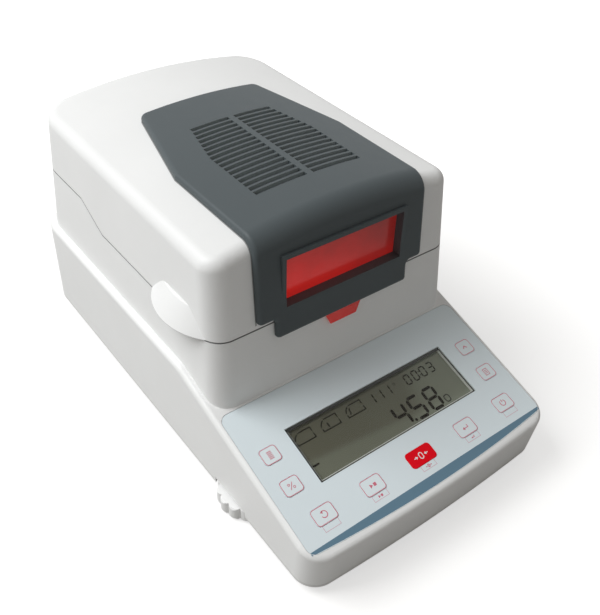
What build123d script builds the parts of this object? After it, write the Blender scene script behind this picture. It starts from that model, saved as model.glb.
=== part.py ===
from build123d import *

import os
from math import atan2, cos, radians, sin

# Halogen moisture analyzer: a hinged heating lid over a weighing chamber, with a sloping keypad in front.
# Millimetres. X runs to the right seen from the front, Y to the rear, Z up from the table.

# Lower housing
ledge_width = 205.0
floor_width = 202.0
ledge_height = 85.0
foot_clearance = 7.0
panel_tilt = 17.15
panel_front_height = 39.4
front_bow = 3.2
front_undercut = 3.8
rear_slope = 10.0
front_corner = 16.0
rear_corner = 28.0
rim_round = 3.5
crest_round = 18.0
wall = 3.0
pan_band = 3.2
seam_gap = 0.3

# Lengths that follow each other from the front edge to the rear edge
panel_start = 8.0
panel_run_out = 2.641
chamber_run = 84.0
cell_length = 110.0
board_gap = 1.0
board_margin = 7.0
power_board_run = 44.0
rear_room = 37.75

# Chamber housing and lid, one tapered block split by the parting line
block_low_width = 195.0
block_high_width = 186.0
block_high = 190.0
block_front_lean = 7.5
block_rear_lean = 16.0
rear_ledge = 15.75
block_front_corner = 14.0
block_rear_corner = 24.0
crown_height = 188.7
crown_radius = 430.0
crown_slope = 1.3
lid_round = 9.0
lid_wall = 2.8
part_front = 123.0
part_rear = 137.0
part_ramp_start = 63.6
part_ramp_run = 30.4
lid_gap = 0.8

# Vent cover on the lid
cover_proud = 4.2
cover_half_front = 65.5
cover_half_rear = 47.2
cover_waist_run = 6.0
cover_rear_run = 86.0
cover_low = 127.0
cover_corner = 6.0
cover_step_corner = 3.0
apron_half = 53.0
apron_low = 112.0
cover_round = 3.0
cover_seat = 0.1
apron_gap = 0.8
slot_pitch = 5.4
slot_width = 3.6
slot_rows = 17
slot_front_run = 43.5
slot_spine = 4.4
slot_margin = 25.5
slot_land = 3.0
slot_depth = 24.0
screen_thick = 1.0

# Viewing window
window_half = 45.5
window_low = 134.0
window_high = 168.0
window_frame = 3.0
window_depth = 5.8
window_thick = 3.0
window_lap = 2.0
window_gap = 0.6
tongue_low = 104.0
tongue_half_high = 14.0
tongue_half_low = 10.5
tongue_thick = 1.5
tongue_gap = 0.9
tongue_root = 10.0
tongue_play = 0.2

# Finger grips
grip_run = 40.0
grip_length = 66.0
grip_reach = 9.0
grip_height = 15.0
grip_lean = 1.0
grip_high_length = 39.6
grip_flat = 0.22
grip_round = 0.8

# Keypad
overlay_half = 98.4
overlay_front = 1.6
overlay_rear = 102.0
overlay_bow = 4.6
overlay_thick = 0.8
overlay_recess = 1.0
overlay_corner = 6.0
overlay_gap = 0.25
display_half = 66.6
display_front = 35.0
display_rear = 75.6
lens_lap = 1.5
key_corner = 2.6
key_proud = 0.3
key_gap = 0.15
key_flange = 1.2
key_flange_thick = 0.6
key_travel = 0.4
key_height = 11.2
key_row = 17.4
key_row_rise = 1.0
board_thick = 1.6
board_depth = 8.5
key_outer = 77.0
key_inner = 40.0
key_side = 83.8
key_upper = 65.5
key_middle = 42.6
key_stem = 2.2
key_rest = 0.05
key_bottom_gap = 0.2
key_edge = 0.25
switch_size = 6.0
switch_depth = 5.0
lcd_gap = 0.1
boss_x = 72.0
boss_front_gap = 6.5
boss_rear_gap = 8.4
board_inset = 8.0
board_side_inset = 5.0
lcd_thick = 2.8

# Weighing chamber
pit_half = 86.0
pit_front_run = 73.0
pit_rear_run = 59.0
pit_corner = 14.0
pit_floor = 97.0
stem_radius = 4.0
stem_hole = 9.0
plate_thick = 1.5
plate_gap = 0.6
shield_radius = 53.0
shield_thick = 1.2
shield_height = 12.0
shield_foot = 4.0
pan_radius = 46.5
pan_depth = 7.0
pan_thick = 0.6
pan_lip = 3.5
pan_seat = 106.0
carrier_arm = 6.0
carrier_reach = 42.0
carrier_thick = 2.0
handler_width = 6.0
handler_thick = 1.5
handle_width = 18.0
handle_reach = 12.0
handle_rise = 5.0

level_x = 68.0
level_run = 52.0
level_radius = 9.0
level_height = 6.5
level_wall = 1.5

# Heating module in the lid
tray_rise = 3.5
tray_thick = 1.6
tray_gap = 0.4
heater_radius = 54.0
glass_thick = 3.0
ring_width = 3.5
ring_thick = 1.2
reflector_height = 24.0
reflector_thick = 1.0
lamp_radius = 39.0
lamp_tube = 4.5
lamp_height = 10.5
lamp_opening = 26.0
tray_post_x = 80.0
tray_post_front_run = 58.0
tray_post_middle_run = 42.0
tray_post_rear_inset = 40.0
lamp_leg = 1.5
reflector_shoulder = 45.5
reflector_round = 4.0
holder_tube = 3.2
holder_plate = 4.0
holder_width = 38.0
holder_depth = 16.0
probe_radius = 2.5
probe_fit = 0.15
probe_nut = 2.5
probe_tail = 6.0
probe_x = -66.0
probe_run = 40.0
probe_low = 113.0

# Hinge
hinge_half = 56.0
hinge_radius = 5.0
hinge_pin_radius = 2.0
hinge_fit = 0.05
knuckle_length = 12.0
side_knuckle_length = 9.0
knuckle_gap = 0.4
hinge_in = 0.3
hinge_seat = 0.2
leaf_thick = 2.0
leaf_reach = 14.0
leaf_rise = 21.0
notch_gap = 0.7

# Feet
wheel_radius = 21.5
wheel_x = 86.0
wheel_run = 91.75
wheel_low = 1.4
wheel_high = 11.4
wheel_lobes = 14
wheel_lobe_radius = 4.6
wheel_chamfer = 1.0
well_gap = 1.6
well_roof = 2.4
swivel_radius = 2.0
swivel_height = 3.5
pad_radius = 9.0
pad_thick = 1.2
screw_radius = 3.0
screw_height = 20.0
screw_fit = 0.08
rear_foot_radius = 9.0
rear_foot_x = 80.0
rear_foot_inset = 31.75
rear_foot_stud = 3.0
bumper_radius = 2.8
bumper_x = 89.4
bumper_front_run = 52.0
bumper_rear_run = 43.0
bumper_gap = 0.05
bumper_round = 0.8

# Inside the base
boss_radius = 4.0
case_screw_radius = 1.5
case_screw_head = 2.9
case_screw_length = 12.0
case_screw_play = 1.0
case_boss_front_x = 62.0
case_boss_front_run = 13.75
case_boss_middle_x = 91.3
case_boss_middle_run = 54.0
case_boss_x = 91.0
case_boss_chamber_run = 24.0
case_boss_rear_inset = 49.75
pan_floor = 2.6
case_screw_sink = 1.6
transformer_x = 31.0
transformer_width = 46.0
transformer_depth = 34.0
transformer_height = 38.0
transformer_inset = 59.75
winding_width = 40.0
winding_depth = 46.0
winding_height = 32.0
winding_corner = 6.0
pan_lip_height = 8.0
pan_round = 1.2
lip_thick = 1.8
post_radius = 3.5
post_x = 60.0
main_post_run = 39.75
main_board_run = 75.0
air_slot_run = 62.0
air_slot_pitch = 7.0
air_slot_rows = 7
air_slot_length = 60.0
air_slot_width = 3.0
cell_width = 24.0
cell_height = 24.0
cell_bore = 8.0
cell_low = 34.0
bracket_width = 40.0
main_board_low = 17.0

# Rear connectors
inlet_x = -58.0
inlet_z = 46.0
inlet_half = 13.5
inlet_high = 9.9
inlet_depth = 21.0
inlet_flange = 2.4
inlet_ear = 25.0
inlet_wall = 1.5
inlet_cut = 4.0
inlet_well = 18.0
inlet_pin_pitch = 7.0
inlet_pin_drop = 2.0
inlet_pin_thick = 2.0
inlet_pin_wide = 4.0
inlet_pin_length = 12.0
port_x = 12.0
port_half = 15.4
port_high = 6.3
fuse_x = -22.0
fuse_radius = 6.0
fuse_slot = 1.4
port_flange = 1.0
port_shell = 8.4
port_rise = 4.2
port_inner = 3.7
port_step = 1.0
port_lean = 80.0
port_corner = 1.0
port_depth = 6.0
port_wall = 0.8
port_nut_x = 12.5
port_nut = 2.6

# Worked-out places
tilt = radians(panel_tilt)
panel_run = (panel_start + overlay_rear) * cos(tilt) + panel_run_out
cell_run = cell_length - cell_width / 2
length = panel_run + chamber_run + cell_run + board_gap + board_margin + power_board_run + rear_room
half_length = length / 2
block_low_front = panel_run - half_length
block_high_front = block_low_front + block_front_lean
block_low_rear = half_length - rear_ledge
block_high_rear = block_low_rear - block_rear_lean
weigh_y = block_low_front + chamber_run
part_ramp_front = weigh_y + part_ramp_start
part_ramp_rear = part_ramp_front + part_ramp_run
cover_waist = weigh_y + cover_waist_run
cover_rear = weigh_y + cover_rear_run
slot_front = weigh_y - slot_front_run
grip_centre = weigh_y - grip_run
pit_front = weigh_y - pit_front_run
pit_rear = weigh_y + pit_rear_run
level_y = weigh_y - level_run
probe_y = weigh_y + probe_run
wheel_y = wheel_run - half_length
rear_foot_y = half_length - rear_foot_inset
bumper_front = weigh_y - bumper_front_run
bumper_rear = weigh_y + bumper_rear_run
cell_rear = weigh_y + cell_run
power_post_front = cell_rear + board_gap + board_margin
power_post_rear = power_post_front + power_board_run
transformer_y = half_length - transformer_inset
main_post_front = main_post_run - half_length
main_post_rear = main_post_front + main_board_run
air_slot_y = weigh_y - air_slot_run
boss_front_v = display_front - boss_front_gap
boss_rear_v = display_rear + boss_rear_gap
panel_origin = (0, -half_length, panel_front_height)
panel = Plane(origin=panel_origin, x_dir=(1, 0, 0), z_dir=(0, -sin(tilt), cos(tilt)))
hinge_z = part_rear + hinge_seat + hinge_radius
hinge_span = knuckle_length / 2 + knuckle_gap + side_knuckle_length
plate_top = pit_floor + plate_thick
shield_top = plate_top + shield_height
pan_rim = pan_seat + pan_depth
cell_top = cell_low + cell_height
tray_low = part_front + lid_gap + tray_rise
tray_high = tray_low + tray_thick
glass_low = tray_low - glass_thick
reflector_top = tray_high + reflector_height
lamp_z = tray_high + lamp_height
lamp_turn = radians(lamp_opening / 2)
lamp_end_x = lamp_radius * sin(lamp_turn)
lamp_end_y = weigh_y + lamp_radius * cos(lamp_turn)
rear_rise = part_rear - part_front
tray_rows = (weigh_y - tray_post_front_run, weigh_y + tray_post_middle_run)
tray_posts = [(side * tray_post_x, y, tray_high) for side in (-1, 1) for y in tray_rows]
tray_post_rear = block_low_rear - tray_post_rear_inset
tray_posts += [(side * tray_post_x, tray_post_rear, tray_high + rear_rise) for side in (-1, 1)]
weigh_axis = Axis((0, weigh_y, 0), (0, 0, 1))
slot_rear = slot_front + (slot_rows - 1) * slot_pitch
pan_floor_top = foot_clearance + pan_floor
well_radius = wheel_radius + well_gap
well_top = wheel_high + well_gap
panel_axis = Axis(panel.origin, panel.z_dir)
post_rows = (main_post_front, main_post_rear, power_post_front, power_post_rear)
board_posts = [(side * post_x, y) for side in (-1, 1) for y in post_rows]
case_boss_places = (
    (case_boss_front_x, case_boss_front_run - half_length), (case_boss_middle_x, weigh_y - case_boss_middle_run),
    (case_boss_x, weigh_y + case_boss_chamber_run), (case_boss_x, half_length - case_boss_rear_inset),
)
case_bosses = [(side * x, y) for side in (-1, 1) for x, y in case_boss_places]


def save(part, name):
    """Names a finished piece and writes its file."""
    part.label = name
    export_step(part, f"parts/{name}.step")
    solids = part.solids()
    print(name, len(solids), "solids", "valid" if part.is_valid else "INVALID", round(part.volume))


def blend(low, high, z):
    """Value at height z on a straight taper from the ledge to the top of the block."""
    return low + (high - low) * (z - ledge_height) / (block_high - ledge_height)


def block_side(z):
    return blend(block_low_width / 2, block_high_width / 2, z)


def block_front(z):
    return blend(block_low_front, block_high_front, z)


def block_rear(z):
    return blend(block_low_rear, block_high_rear, z)


hinge_y = block_rear(hinge_z) - hinge_in
window_back = block_front((window_low + window_high) / 2) - cover_proud + window_depth


def outline(z, half, front, rear, front_radius, rear_radius, bow=0.0):
    """Closed plan outline at height z, with a bowed front edge and four round corners."""
    with BuildSketch(Plane.XY.offset(z)) as sketch:
        with BuildLine():
            Polyline((half, front), (half, rear), (-half, rear), (-half, front))
            if bow > 0:
                ThreePointArc((-half, front), (0, front - bow), (half, front))
            else:
                Line((-half, front), (half, front))
        make_face()
        fillet(sketch.vertices().group_by(Axis.Y)[0], front_radius)
        fillet(sketch.vertices().group_by(Axis.Y)[-1], rear_radius)
    return sketch.sketch


def crown(rise):
    """Everything below the lid's crowned, gently rising top, raised by rise."""
    slope = radians(crown_slope)
    top = (0, 0, crown_height + rise)
    section = Plane(origin=top, x_dir=(1, 0, 0), z_dir=(0, -cos(slope), -sin(slope)))
    half = block_low_width
    drop = crown_radius - (crown_radius**2 - half**2) ** 0.5
    with BuildPart() as below:
        with BuildSketch(section):
            with BuildLine():
                ThreePointArc((-half, -drop), (0, 0), (half, -drop))
                Polyline((half, -drop), (half, -block_high), (-half, -block_high), (-half, -drop))
            make_face()
        extrude(amount=length, both=True)
    return below.part


def block(gap, rise):
    """The chamber housing and lid as one tapered block, its walls moved out by gap and its top by rise."""
    with BuildPart() as body:
        for z in (ledge_height - 45, block_high + 20):
            add(outline(z, block_side(z) + gap, block_front(z) - gap, block_rear(z) + gap,
                        block_front_corner + gap, block_rear_corner + gap))
        loft(ruled=True)
        add(crown(rise), mode=Mode.INTERSECT)
    return body.part


def parting(rise):
    """Everything below the stepped parting line between the lid and the housing, raised by rise."""
    with BuildPart() as below:
        with BuildSketch(Plane.YZ):
            Polygon(
                (-length, -length), (length, -length), (length, part_rear + rise),
                (part_ramp_rear, part_rear + rise), (part_ramp_front, part_front + rise),
                (-length, part_front + rise), align=None,
            )
        extrude(amount=ledge_width, both=True)
    return below.part


def skirt_side(z):
    share = (z - foot_clearance) / (ledge_height - foot_clearance)
    return (floor_width + (ledge_width - floor_width) * share) / 2


def skirt_front(z):
    """Front wall at its corners, leaning back below the keypad's edge."""
    share = (panel_front_height - z) / (panel_front_height - foot_clearance)
    return -half_length + front_bow + front_undercut * share


def skirt_rear(z):
    return half_length - rear_slope * (z - foot_clearance) / (ledge_height - foot_clearance)


def skirt(gap, low, high):
    """The wide lower housing under the keypad and the ledge, its walls moved in by gap."""
    with BuildPart() as body:
        for z in (low, high):
            add(outline(z, skirt_side(z) - gap, skirt_front(z) + gap, skirt_rear(z) - gap,
                        front_corner - gap, rear_corner - gap, front_bow))
        loft(ruled=True)
        split(bisect_by=panel.offset(-gap), keep=Keep.BOTTOM)
    return body.part


def on_panel(x, v, depth=0.0):
    """Plane on the keypad slope at x across and v up the slope, sunk by depth."""
    place = panel.from_local_coords((x, v + panel_start, -depth))
    return Plane(origin=place, x_dir=(1, 0, 0), z_dir=panel.z_dir)


def rounded_prism(half, front, rear, corner, low, high):
    """Upright block with round corners, from height low to high."""
    with BuildPart() as prism:
        with BuildSketch(Plane.XY.offset(low)):
            with Locations((0, (front + rear) / 2)):
                RectangleRounded(2 * half, rear - front, corner)
        extrude(amount=high - low)
    return prism.part


def rod(x, y, radius, low, high):
    """Upright round bar from height low to high."""
    with BuildPart() as bar:
        with BuildSketch(Plane.XY.offset(low)):
            with Locations((x, y)):
                Circle(radius)
        extrude(amount=high - low)
    return bar.part


def chamber(gap, rise):
    """The part of the tapered block below the parting line."""
    with BuildPart() as body:
        add(block(gap, lid_wall))
        add(parting(rise), mode=Mode.INTERSECT)
    return body.part


def panel_sheet(inset, depth, thick):
    """Sheet the shape of the keypad overlay, sunk into the slope by depth."""
    with BuildPart() as sheet:
        with BuildSketch(on_panel(0, 0, depth)) as face:
            half = overlay_half - inset
            front = overlay_front + inset
            rear = overlay_rear - inset
            with BuildLine():
                Polyline((half, front), (half, rear), (-half, rear), (-half, front))
                ThreePointArc((-half, front), (0, front - overlay_bow), (half, front))
            make_face()
            fillet(face.vertices(), overlay_corner - inset)
        extrude(amount=-thick)
    return sheet.part


def panel_box(width, height, x, v, depth, thick, corner=0.0):
    """Rectangular block on the keypad slope, its top sunk by depth."""
    with BuildPart() as box:
        with BuildSketch(on_panel(x, v, depth)):
            if corner > 0:
                RectangleRounded(width, height, corner)
            else:
                Rectangle(width, height)
        extrude(amount=-thick)
    return box.part


def panel_rod(x, v, radius, top, bottom):
    """Round bar square to the keypad slope, from depth top to depth bottom."""
    with BuildPart() as bar:
        with BuildSketch(on_panel(x, v, top)):
            Circle(radius)
        extrude(amount=top - bottom)
    return bar.part


def key_place(x):
    """Height up the slope of a key in the front row, which follows the bowed edge."""
    return key_row + key_row_rise * (x / key_outer) ** 2


def back(x, out):
    """Plane on the sloping rear wall, x across from the middle, moved out by out."""
    lean = atan2(rear_slope, ledge_height - foot_clearance)
    normal = (0, cos(lean), sin(lean))
    origin = (x, skirt_rear(inlet_z) + out * cos(lean), inlet_z + out * sin(lean))
    return Plane(origin=origin, x_dir=(-1, 0, 0), z_dir=normal)


def window_box(grow, front, rear):
    """Block through the lid's front at the window, larger all round by grow."""
    with BuildPart() as box:
        with BuildSketch(Plane.XZ.offset(-front)):
            with Locations((0, (window_low + window_high) / 2)):
                Rectangle(2 * (window_half + grow), window_high - window_low + 2 * grow)
        extrude(amount=front - rear)
    return box.part


def hinge_box(side, half, low, high, front, rear):
    """Block centred on one hinge, for the notches round its knuckles."""
    with BuildPart() as box:
        with BuildSketch(Plane.XY.offset(low)):
            with Locations((side * hinge_half, (front + rear) / 2)):
                Rectangle(2 * half, rear - front)
        extrude(amount=high - low)
    return box.part


def barrel(side, half, radius):
    """Round bar along the hinge line, centred on one hinge."""
    with BuildPart() as bar:
        with BuildSketch(Plane.YZ.offset(side * hinge_half)):
            with Locations((hinge_y, hinge_z)):
                Circle(radius)
        extrude(amount=half, both=True)
    return bar.part


def cover_front():
    """Prism of the vent cover's front view: full width above, narrower apron below."""
    with BuildPart() as prism:
        with BuildSketch(Plane.XZ) as face:
            right = [(cover_half_front, 2 * block_high), (cover_half_front, cover_low),
                     (apron_half, cover_low), (apron_half, apron_low)]
            with BuildLine():
                Polyline(*right, *[(-x, z) for x, z in reversed(right)], close=True)
            make_face()
            fillet(face.vertices().filter_by(lambda v: v.Y < block_high), cover_step_corner)
        extrude(amount=length, both=True)
    return prism.part


def tongue_form(play, inner):
    """The light tongue under the apron, its back moved out by inner and its edges by play."""
    with BuildPart() as tongue:
        add(block(tongue_gap + tongue_thick + play, 0))
        add(block(inner, lid_gap), mode=Mode.SUBTRACT)
        with BuildSketch(Plane.XZ.offset(-block_low_front / 2)):
            with BuildLine():
                right = [(tongue_half_high + play, apron_low + tongue_root + play),
                         (tongue_half_high + play, apron_low), (tongue_half_low + play, tongue_low)]
                Polyline(*right, *[(-x, z) for x, z in reversed(right)], close=True)
            make_face()
        extrude(amount=length, mode=Mode.INTERSECT)
    return tongue.part


def rounded_block(gap, rise):
    """The tapered block with its top edges rounded, its walls moved out by gap and its top by rise."""
    with BuildPart() as body:
        add(block(gap, rise))
        fillet(body.faces().sort_by(Axis.Z)[-1].edges(), lid_round + gap)
    return body.part


def wheel_blank(x):
    """Plain disc with chamfered rims that the lobes of a levelling wheel are cut from."""
    with BuildPart() as disc:
        add(rod(x, wheel_y, wheel_radius, wheel_low, wheel_high))
        chamfer(disc.edges().filter_by(GeomType.CIRCLE), wheel_chamfer)
    return disc.part


def cover_half(y):
    """Half width of the vent cover at y, tapering to the rear behind its waist."""
    if y < cover_waist:
        return cover_half_front
    share = (y - cover_waist) / (cover_rear - cover_waist)
    return cover_half_front + (cover_half_rear - cover_half_front) * share


def cover_prism(inset, front, rear, corner):
    """Upright prism of the vent cover's plan, moved in by inset, between two lines across the lid."""
    with BuildPart() as prism:
        with BuildSketch(Plane.XY.offset(apron_low - wall)) as plan:
            right = [(cover_half(y) - inset, y) for y in (front, cover_waist, rear)]
            with BuildLine():
                Polyline(*right, *[(-x, y) for x, y in reversed(right)], close=True)
            make_face()
            fillet(plan.vertices().group_by(Axis.Y)[-1], corner)
        extrude(amount=block_high)
    return prism.part


# Keys: name, x across, v up the slope, width
keys = [
    ("key_reset", -key_outer, key_place(key_outer), 15.4),
    ("key_start_stop", -key_inner, key_place(key_inner), 15.6),
    ("key_tare", 0.0, key_place(0), 20.6),
    ("key_enter", key_inner, key_place(key_inner), 16.0),
    ("key_on_off", key_outer, key_place(key_outer), 15.4),
    ("key_menu", -key_side, key_upper, 12.2),
    ("key_conversion", -key_side, key_middle, 13.0),
    ("key_up", key_side, key_upper, 12.2),
    ("key_print", key_side, key_middle, 13.0),
]
display_height = display_rear - display_front
display_v = (display_front + display_rear) / 2
board_front = overlay_front + board_inset
board_rear = overlay_rear - board_inset
board_half = overlay_half - board_side_inset
overlay_top = overlay_recess - overlay_thick
pocket_depth = overlay_recess + key_flange_thick + key_travel + key_rest + key_bottom_gap
board_bosses = [(x, v) for x in (-boss_x, boss_x) for v in (boss_front_v, boss_rear_v)]

# Skirt: the wide lower part of the housing, with its crest and rim rounded
with BuildPart() as skirt_form:
    add(skirt(0, foot_clearance + pan_band + seam_gap, ledge_height))
    crest = skirt_form.edges().filter_by(Axis.X).filter_by(lambda e: abs(e.center().Z - ledge_height) < 0.1)
    fillet(crest.sort_by(Axis.Y)[0], crest_round)
    rim = skirt_form.edges().filter_by(lambda e: e.center().Z > panel_front_height - rim_round)
    rim = rim.filter_by(lambda e: abs(e.center().X) > 1 or abs(e.center().Y) > half_length - rear_corner)
    rim = rim.filter_by(lambda e: abs(e.tangent_at(0.5).Z) < 0.5)
    fillet(rim, rim_round)

# Housing: skirt, keypad slope, ledge and chamber walls in one moulding
with BuildPart() as housing_form:
    add(skirt_form.part)
    add(chamber(0, 0))

with BuildPart() as housing_hollow:
    add(skirt(wall, foot_clearance, ledge_height - wall))
    add(chamber(-wall, -wall))
    add(rounded_prism(pit_half + wall, pit_front - wall, pit_rear + wall, pit_corner + wall,
                      pit_floor - wall, block_high), mode=Mode.SUBTRACT)

# Screw bosses: long ones down to the bottom pan, short ones under the keypad
with BuildPart() as bosses:
    for x, y in case_bosses:
        add(rod(x, y, boss_radius, pan_floor_top, ledge_height))
    for x, v in board_bosses:
        add(panel_rod(x, v, boss_radius, wall / 2, board_depth))
    add(housing_form.part, mode=Mode.INTERSECT)

with BuildPart() as housing:
    add(housing_form.part)
    add(housing_hollow.part, mode=Mode.SUBTRACT)
    add(bosses.part)
    # Weighing chamber
    add(rounded_prism(pit_half, pit_front, pit_rear, pit_corner, pit_floor, block_high), mode=Mode.SUBTRACT)
    add(rod(0, weigh_y, stem_hole, pit_floor - 2 * wall, block_high), mode=Mode.SUBTRACT)
    # Keypad recess, display opening and key pockets
    add(panel_sheet(-overlay_gap, -wall, wall + overlay_recess), mode=Mode.SUBTRACT)
    add(panel_box(2 * (display_half - lens_lap), display_height - 2 * lens_lap, 0, display_v, 0,
                  2 * wall), mode=Mode.SUBTRACT)
    for name, x, v, key_width in keys:
        reach = 2 * (key_flange + key_gap)
        add(panel_box(key_width + reach, key_height + reach, x, v, 0, pocket_depth, key_corner),
            mode=Mode.SUBTRACT)
        add(panel_rod(x, v, key_stem + seam_gap, 0, 2 * wall), mode=Mode.SUBTRACT)
    # Wheel notches through the lower edge
    for side in (-1, 1):
        add(rod(side * wheel_x, wheel_y, well_radius, 0, well_top), mode=Mode.SUBTRACT)
    # Screw holes
    for x, y in case_bosses:
        add(rod(x, y, case_screw_radius, 0, pan_floor_top + case_screw_length), mode=Mode.SUBTRACT)
    for x, v in board_bosses:
        add(panel_rod(x, v, case_screw_radius, wall, 2 * board_depth), mode=Mode.SUBTRACT)
    # Openings in the rear wall for the connectors
    with BuildSketch(back(inlet_x, wall)):
        Rectangle(2 * (inlet_half + seam_gap), 2 * (inlet_high + seam_gap))
    extrude(amount=-3 * wall, mode=Mode.SUBTRACT)
    with BuildSketch(back(fuse_x, wall)):
        Circle(fuse_radius + seam_gap)
    extrude(amount=-3 * wall, mode=Mode.SUBTRACT)
    with BuildSketch(back(port_x, wall)):
        Rectangle(2 * (port_shell + port_step + seam_gap), 2 * (port_rise + seam_gap))
    extrude(amount=-3 * wall, mode=Mode.SUBTRACT)
save(housing.part, "housing")


# Bottom pan: floor, visible band, inner lip and the wells of the two levelling wheels
with BuildPart() as wells:
    for side in (-1, 1):
        add(rod(side * wheel_x, wheel_y, well_radius + well_roof, foot_clearance, well_top + well_roof))
    add(skirt(wall + seam_gap, foot_clearance, ledge_height), mode=Mode.INTERSECT)
with BuildPart() as bottom_pan:
    add(skirt(0, foot_clearance, foot_clearance + pan_band))
    fillet(bottom_pan.faces().sort_by(Axis.Z)[0].edges(), pan_round)
    add(skirt(wall + seam_gap, foot_clearance, foot_clearance + pan_lip_height))
    add(skirt(wall + seam_gap + lip_thick, pan_floor_top, ledge_height), mode=Mode.SUBTRACT)
    add(wells.part)
    for side in (-1, 1):
        add(rod(side * wheel_x, wheel_y, well_radius, 0, well_top), mode=Mode.SUBTRACT)
        add(rod(side * wheel_x, wheel_y, screw_radius + screw_fit, 0, ledge_height), mode=Mode.SUBTRACT)
        add(rod(side * rear_foot_x, rear_foot_y, rear_foot_stud, 0, ledge_height), mode=Mode.SUBTRACT)
    # Posts for the circuit boards
    for x, y in board_posts:
        add(rod(x, y, post_radius, pan_floor_top, main_board_low))
    # Air slots
    with BuildSketch(Plane.XY):
        with Locations((0, air_slot_y)):
            with GridLocations(0, air_slot_pitch, 1, air_slot_rows):
                SlotOverall(air_slot_length, air_slot_width)
    extrude(amount=pan_floor_top + 1, mode=Mode.SUBTRACT)
    # Sunk screw holes
    for x, y in case_bosses:
        add(rod(x, y, case_screw_radius + seam_gap, 0, ledge_height), mode=Mode.SUBTRACT)
        add(rod(x, y, case_screw_head + seam_gap, 0, foot_clearance + case_screw_sink), mode=Mode.SUBTRACT)
save(bottom_pan.part, "bottom_pan")

with BuildPart() as case_screws:
    for x, y in case_bosses:
        add(rod(x, y, case_screw_radius, foot_clearance + case_screw_sink,
                pan_floor_top + case_screw_length - case_screw_play))
        add(rod(x, y, case_screw_head, foot_clearance + seam_gap, foot_clearance + case_screw_sink))
save(case_screws.part, "case_screws")

# Feet
for side, name in ((-1, "left"), (1, "right")):
    with BuildPart() as wheel:
        with BuildSketch(Plane.XY.offset(wheel_low)):
            with Locations((side * wheel_x, wheel_y)):
                Circle(wheel_radius - wheel_lobe_radius)
                with PolarLocations(wheel_radius - wheel_lobe_radius, wheel_lobes):
                    Circle(wheel_lobe_radius)
        extrude(amount=wheel_high - wheel_low)
        add(wheel_blank(side * wheel_x), mode=Mode.INTERSECT)
        add(rod(side * wheel_x, wheel_y, screw_radius, wheel_high - 1, wheel_high + screw_height))
        add(rod(side * wheel_x, wheel_y, swivel_radius + screw_fit, 0, wheel_low + swivel_height),
            mode=Mode.SUBTRACT)
    save(wheel.part, f"level_wheel_{name}")
    with BuildPart() as pad:
        add(rod(side * wheel_x, wheel_y, pad_radius, 0, pad_thick))
        chamfer(pad.edges().sort_by(Axis.Z)[0], pad_thick / 3)
        add(rod(side * wheel_x, wheel_y, swivel_radius, pad_thick / 2, wheel_low + swivel_height - seam_gap))
    save(pad.part, f"foot_pad_{name}")

with BuildPart() as rear_feet:
    for side in (-1, 1):
        add(rod(side * rear_foot_x, rear_foot_y, rear_foot_radius, 0, foot_clearance))
    chamfer(rear_feet.edges().group_by(Axis.Z)[0], 1)
    for side in (-1, 1):
        add(rod(side * rear_foot_x, rear_foot_y, rear_foot_stud - screw_fit, foot_clearance / 2, pan_floor_top))
save(rear_feet.part, "rear_feet")

# Keypad
with BuildPart() as overlay:
    add(panel_sheet(0, overlay_top, overlay_thick))
    add(panel_box(2 * display_half, display_height, 0, display_v, 0, wall), mode=Mode.SUBTRACT)
    for name, x, v, key_width in keys:
        add(panel_box(key_width + 2 * key_gap, key_height + 2 * key_gap, x, v, 0, wall,
                      key_corner + key_gap), mode=Mode.SUBTRACT)
save(overlay.part, "keypad_overlay")

for name, x, v, key_width in keys:
    flange_top = overlay_recess + key_rest
    cap_top = overlay_top - key_proud
    with BuildPart() as key:
        add(panel_box(key_width, key_height, x, v, cap_top, flange_top - cap_top, key_corner))
        fillet(key.faces().sort_by(panel_axis)[-1].edges(), key_edge)
        add(panel_box(key_width + 2 * key_flange, key_height + 2 * key_flange, x, v, flange_top,
                      key_flange_thick, key_corner))
        add(panel_rod(x, v, key_stem, flange_top, switch_depth - key_travel - key_rest))
    save(key.part, name)

with BuildPart() as lens:
    add(panel_box(2 * (display_half - key_gap), display_height - 2 * key_gap, 0, display_v,
                  overlay_top, overlay_thick))
save(lens.part, "display_lens")

with BuildPart() as lcd:
    add(panel_box(2 * display_half, display_height, 0, display_v, wall + lcd_gap, lcd_thick))
save(lcd.part, "lcd_glass")

frame_depth = wall + lcd_gap + lcd_thick
with BuildPart() as lcd_frame:
    add(panel_box(2 * display_half, display_height, 0, display_v, frame_depth, board_depth - frame_depth))
    add(panel_box(2 * (display_half - wall), display_height - 2 * wall, 0, display_v,
                  frame_depth, board_depth), mode=Mode.SUBTRACT)
save(lcd_frame.part, "lcd_frame")

with BuildPart() as board:
    add(panel_box(2 * board_half, board_rear - board_front, 0, (board_front + board_rear) / 2,
                  board_depth, board_thick))
    for x, v in board_bosses:
        add(panel_rod(x, v, case_screw_radius, 0, 2 * board_depth), mode=Mode.SUBTRACT)
save(board.part, "keypad_board")

with BuildPart() as board_screws:
    board_back = board_depth + board_thick
    for x, v in board_bosses:
        add(panel_rod(x, v, case_screw_radius - screw_fit, wall + seam_gap, board_back))
        add(panel_rod(x, v, case_screw_head, board_back, board_back + case_screw_sink))
save(board_screws.part, "board_screws")

with BuildPart() as switches:
    for name, x, v, key_width in keys:
        body_top = switch_depth + key_travel
        add(panel_box(switch_size, switch_size, x, v, body_top, board_depth - body_top))
        add(panel_rod(x, v, key_stem, switch_depth, body_top + seam_gap))
save(switches.part, "key_switches")

# Weighing chamber
with BuildPart() as plate:
    add(rounded_prism(pit_half - plate_gap, pit_front + plate_gap, pit_rear - plate_gap,
                      pit_corner - plate_gap, pit_floor, plate_top))
    add(rod(0, weigh_y, stem_hole, pit_floor - wall, plate_top + wall), mode=Mode.SUBTRACT)
save(plate.part, "chamber_plate")

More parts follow.
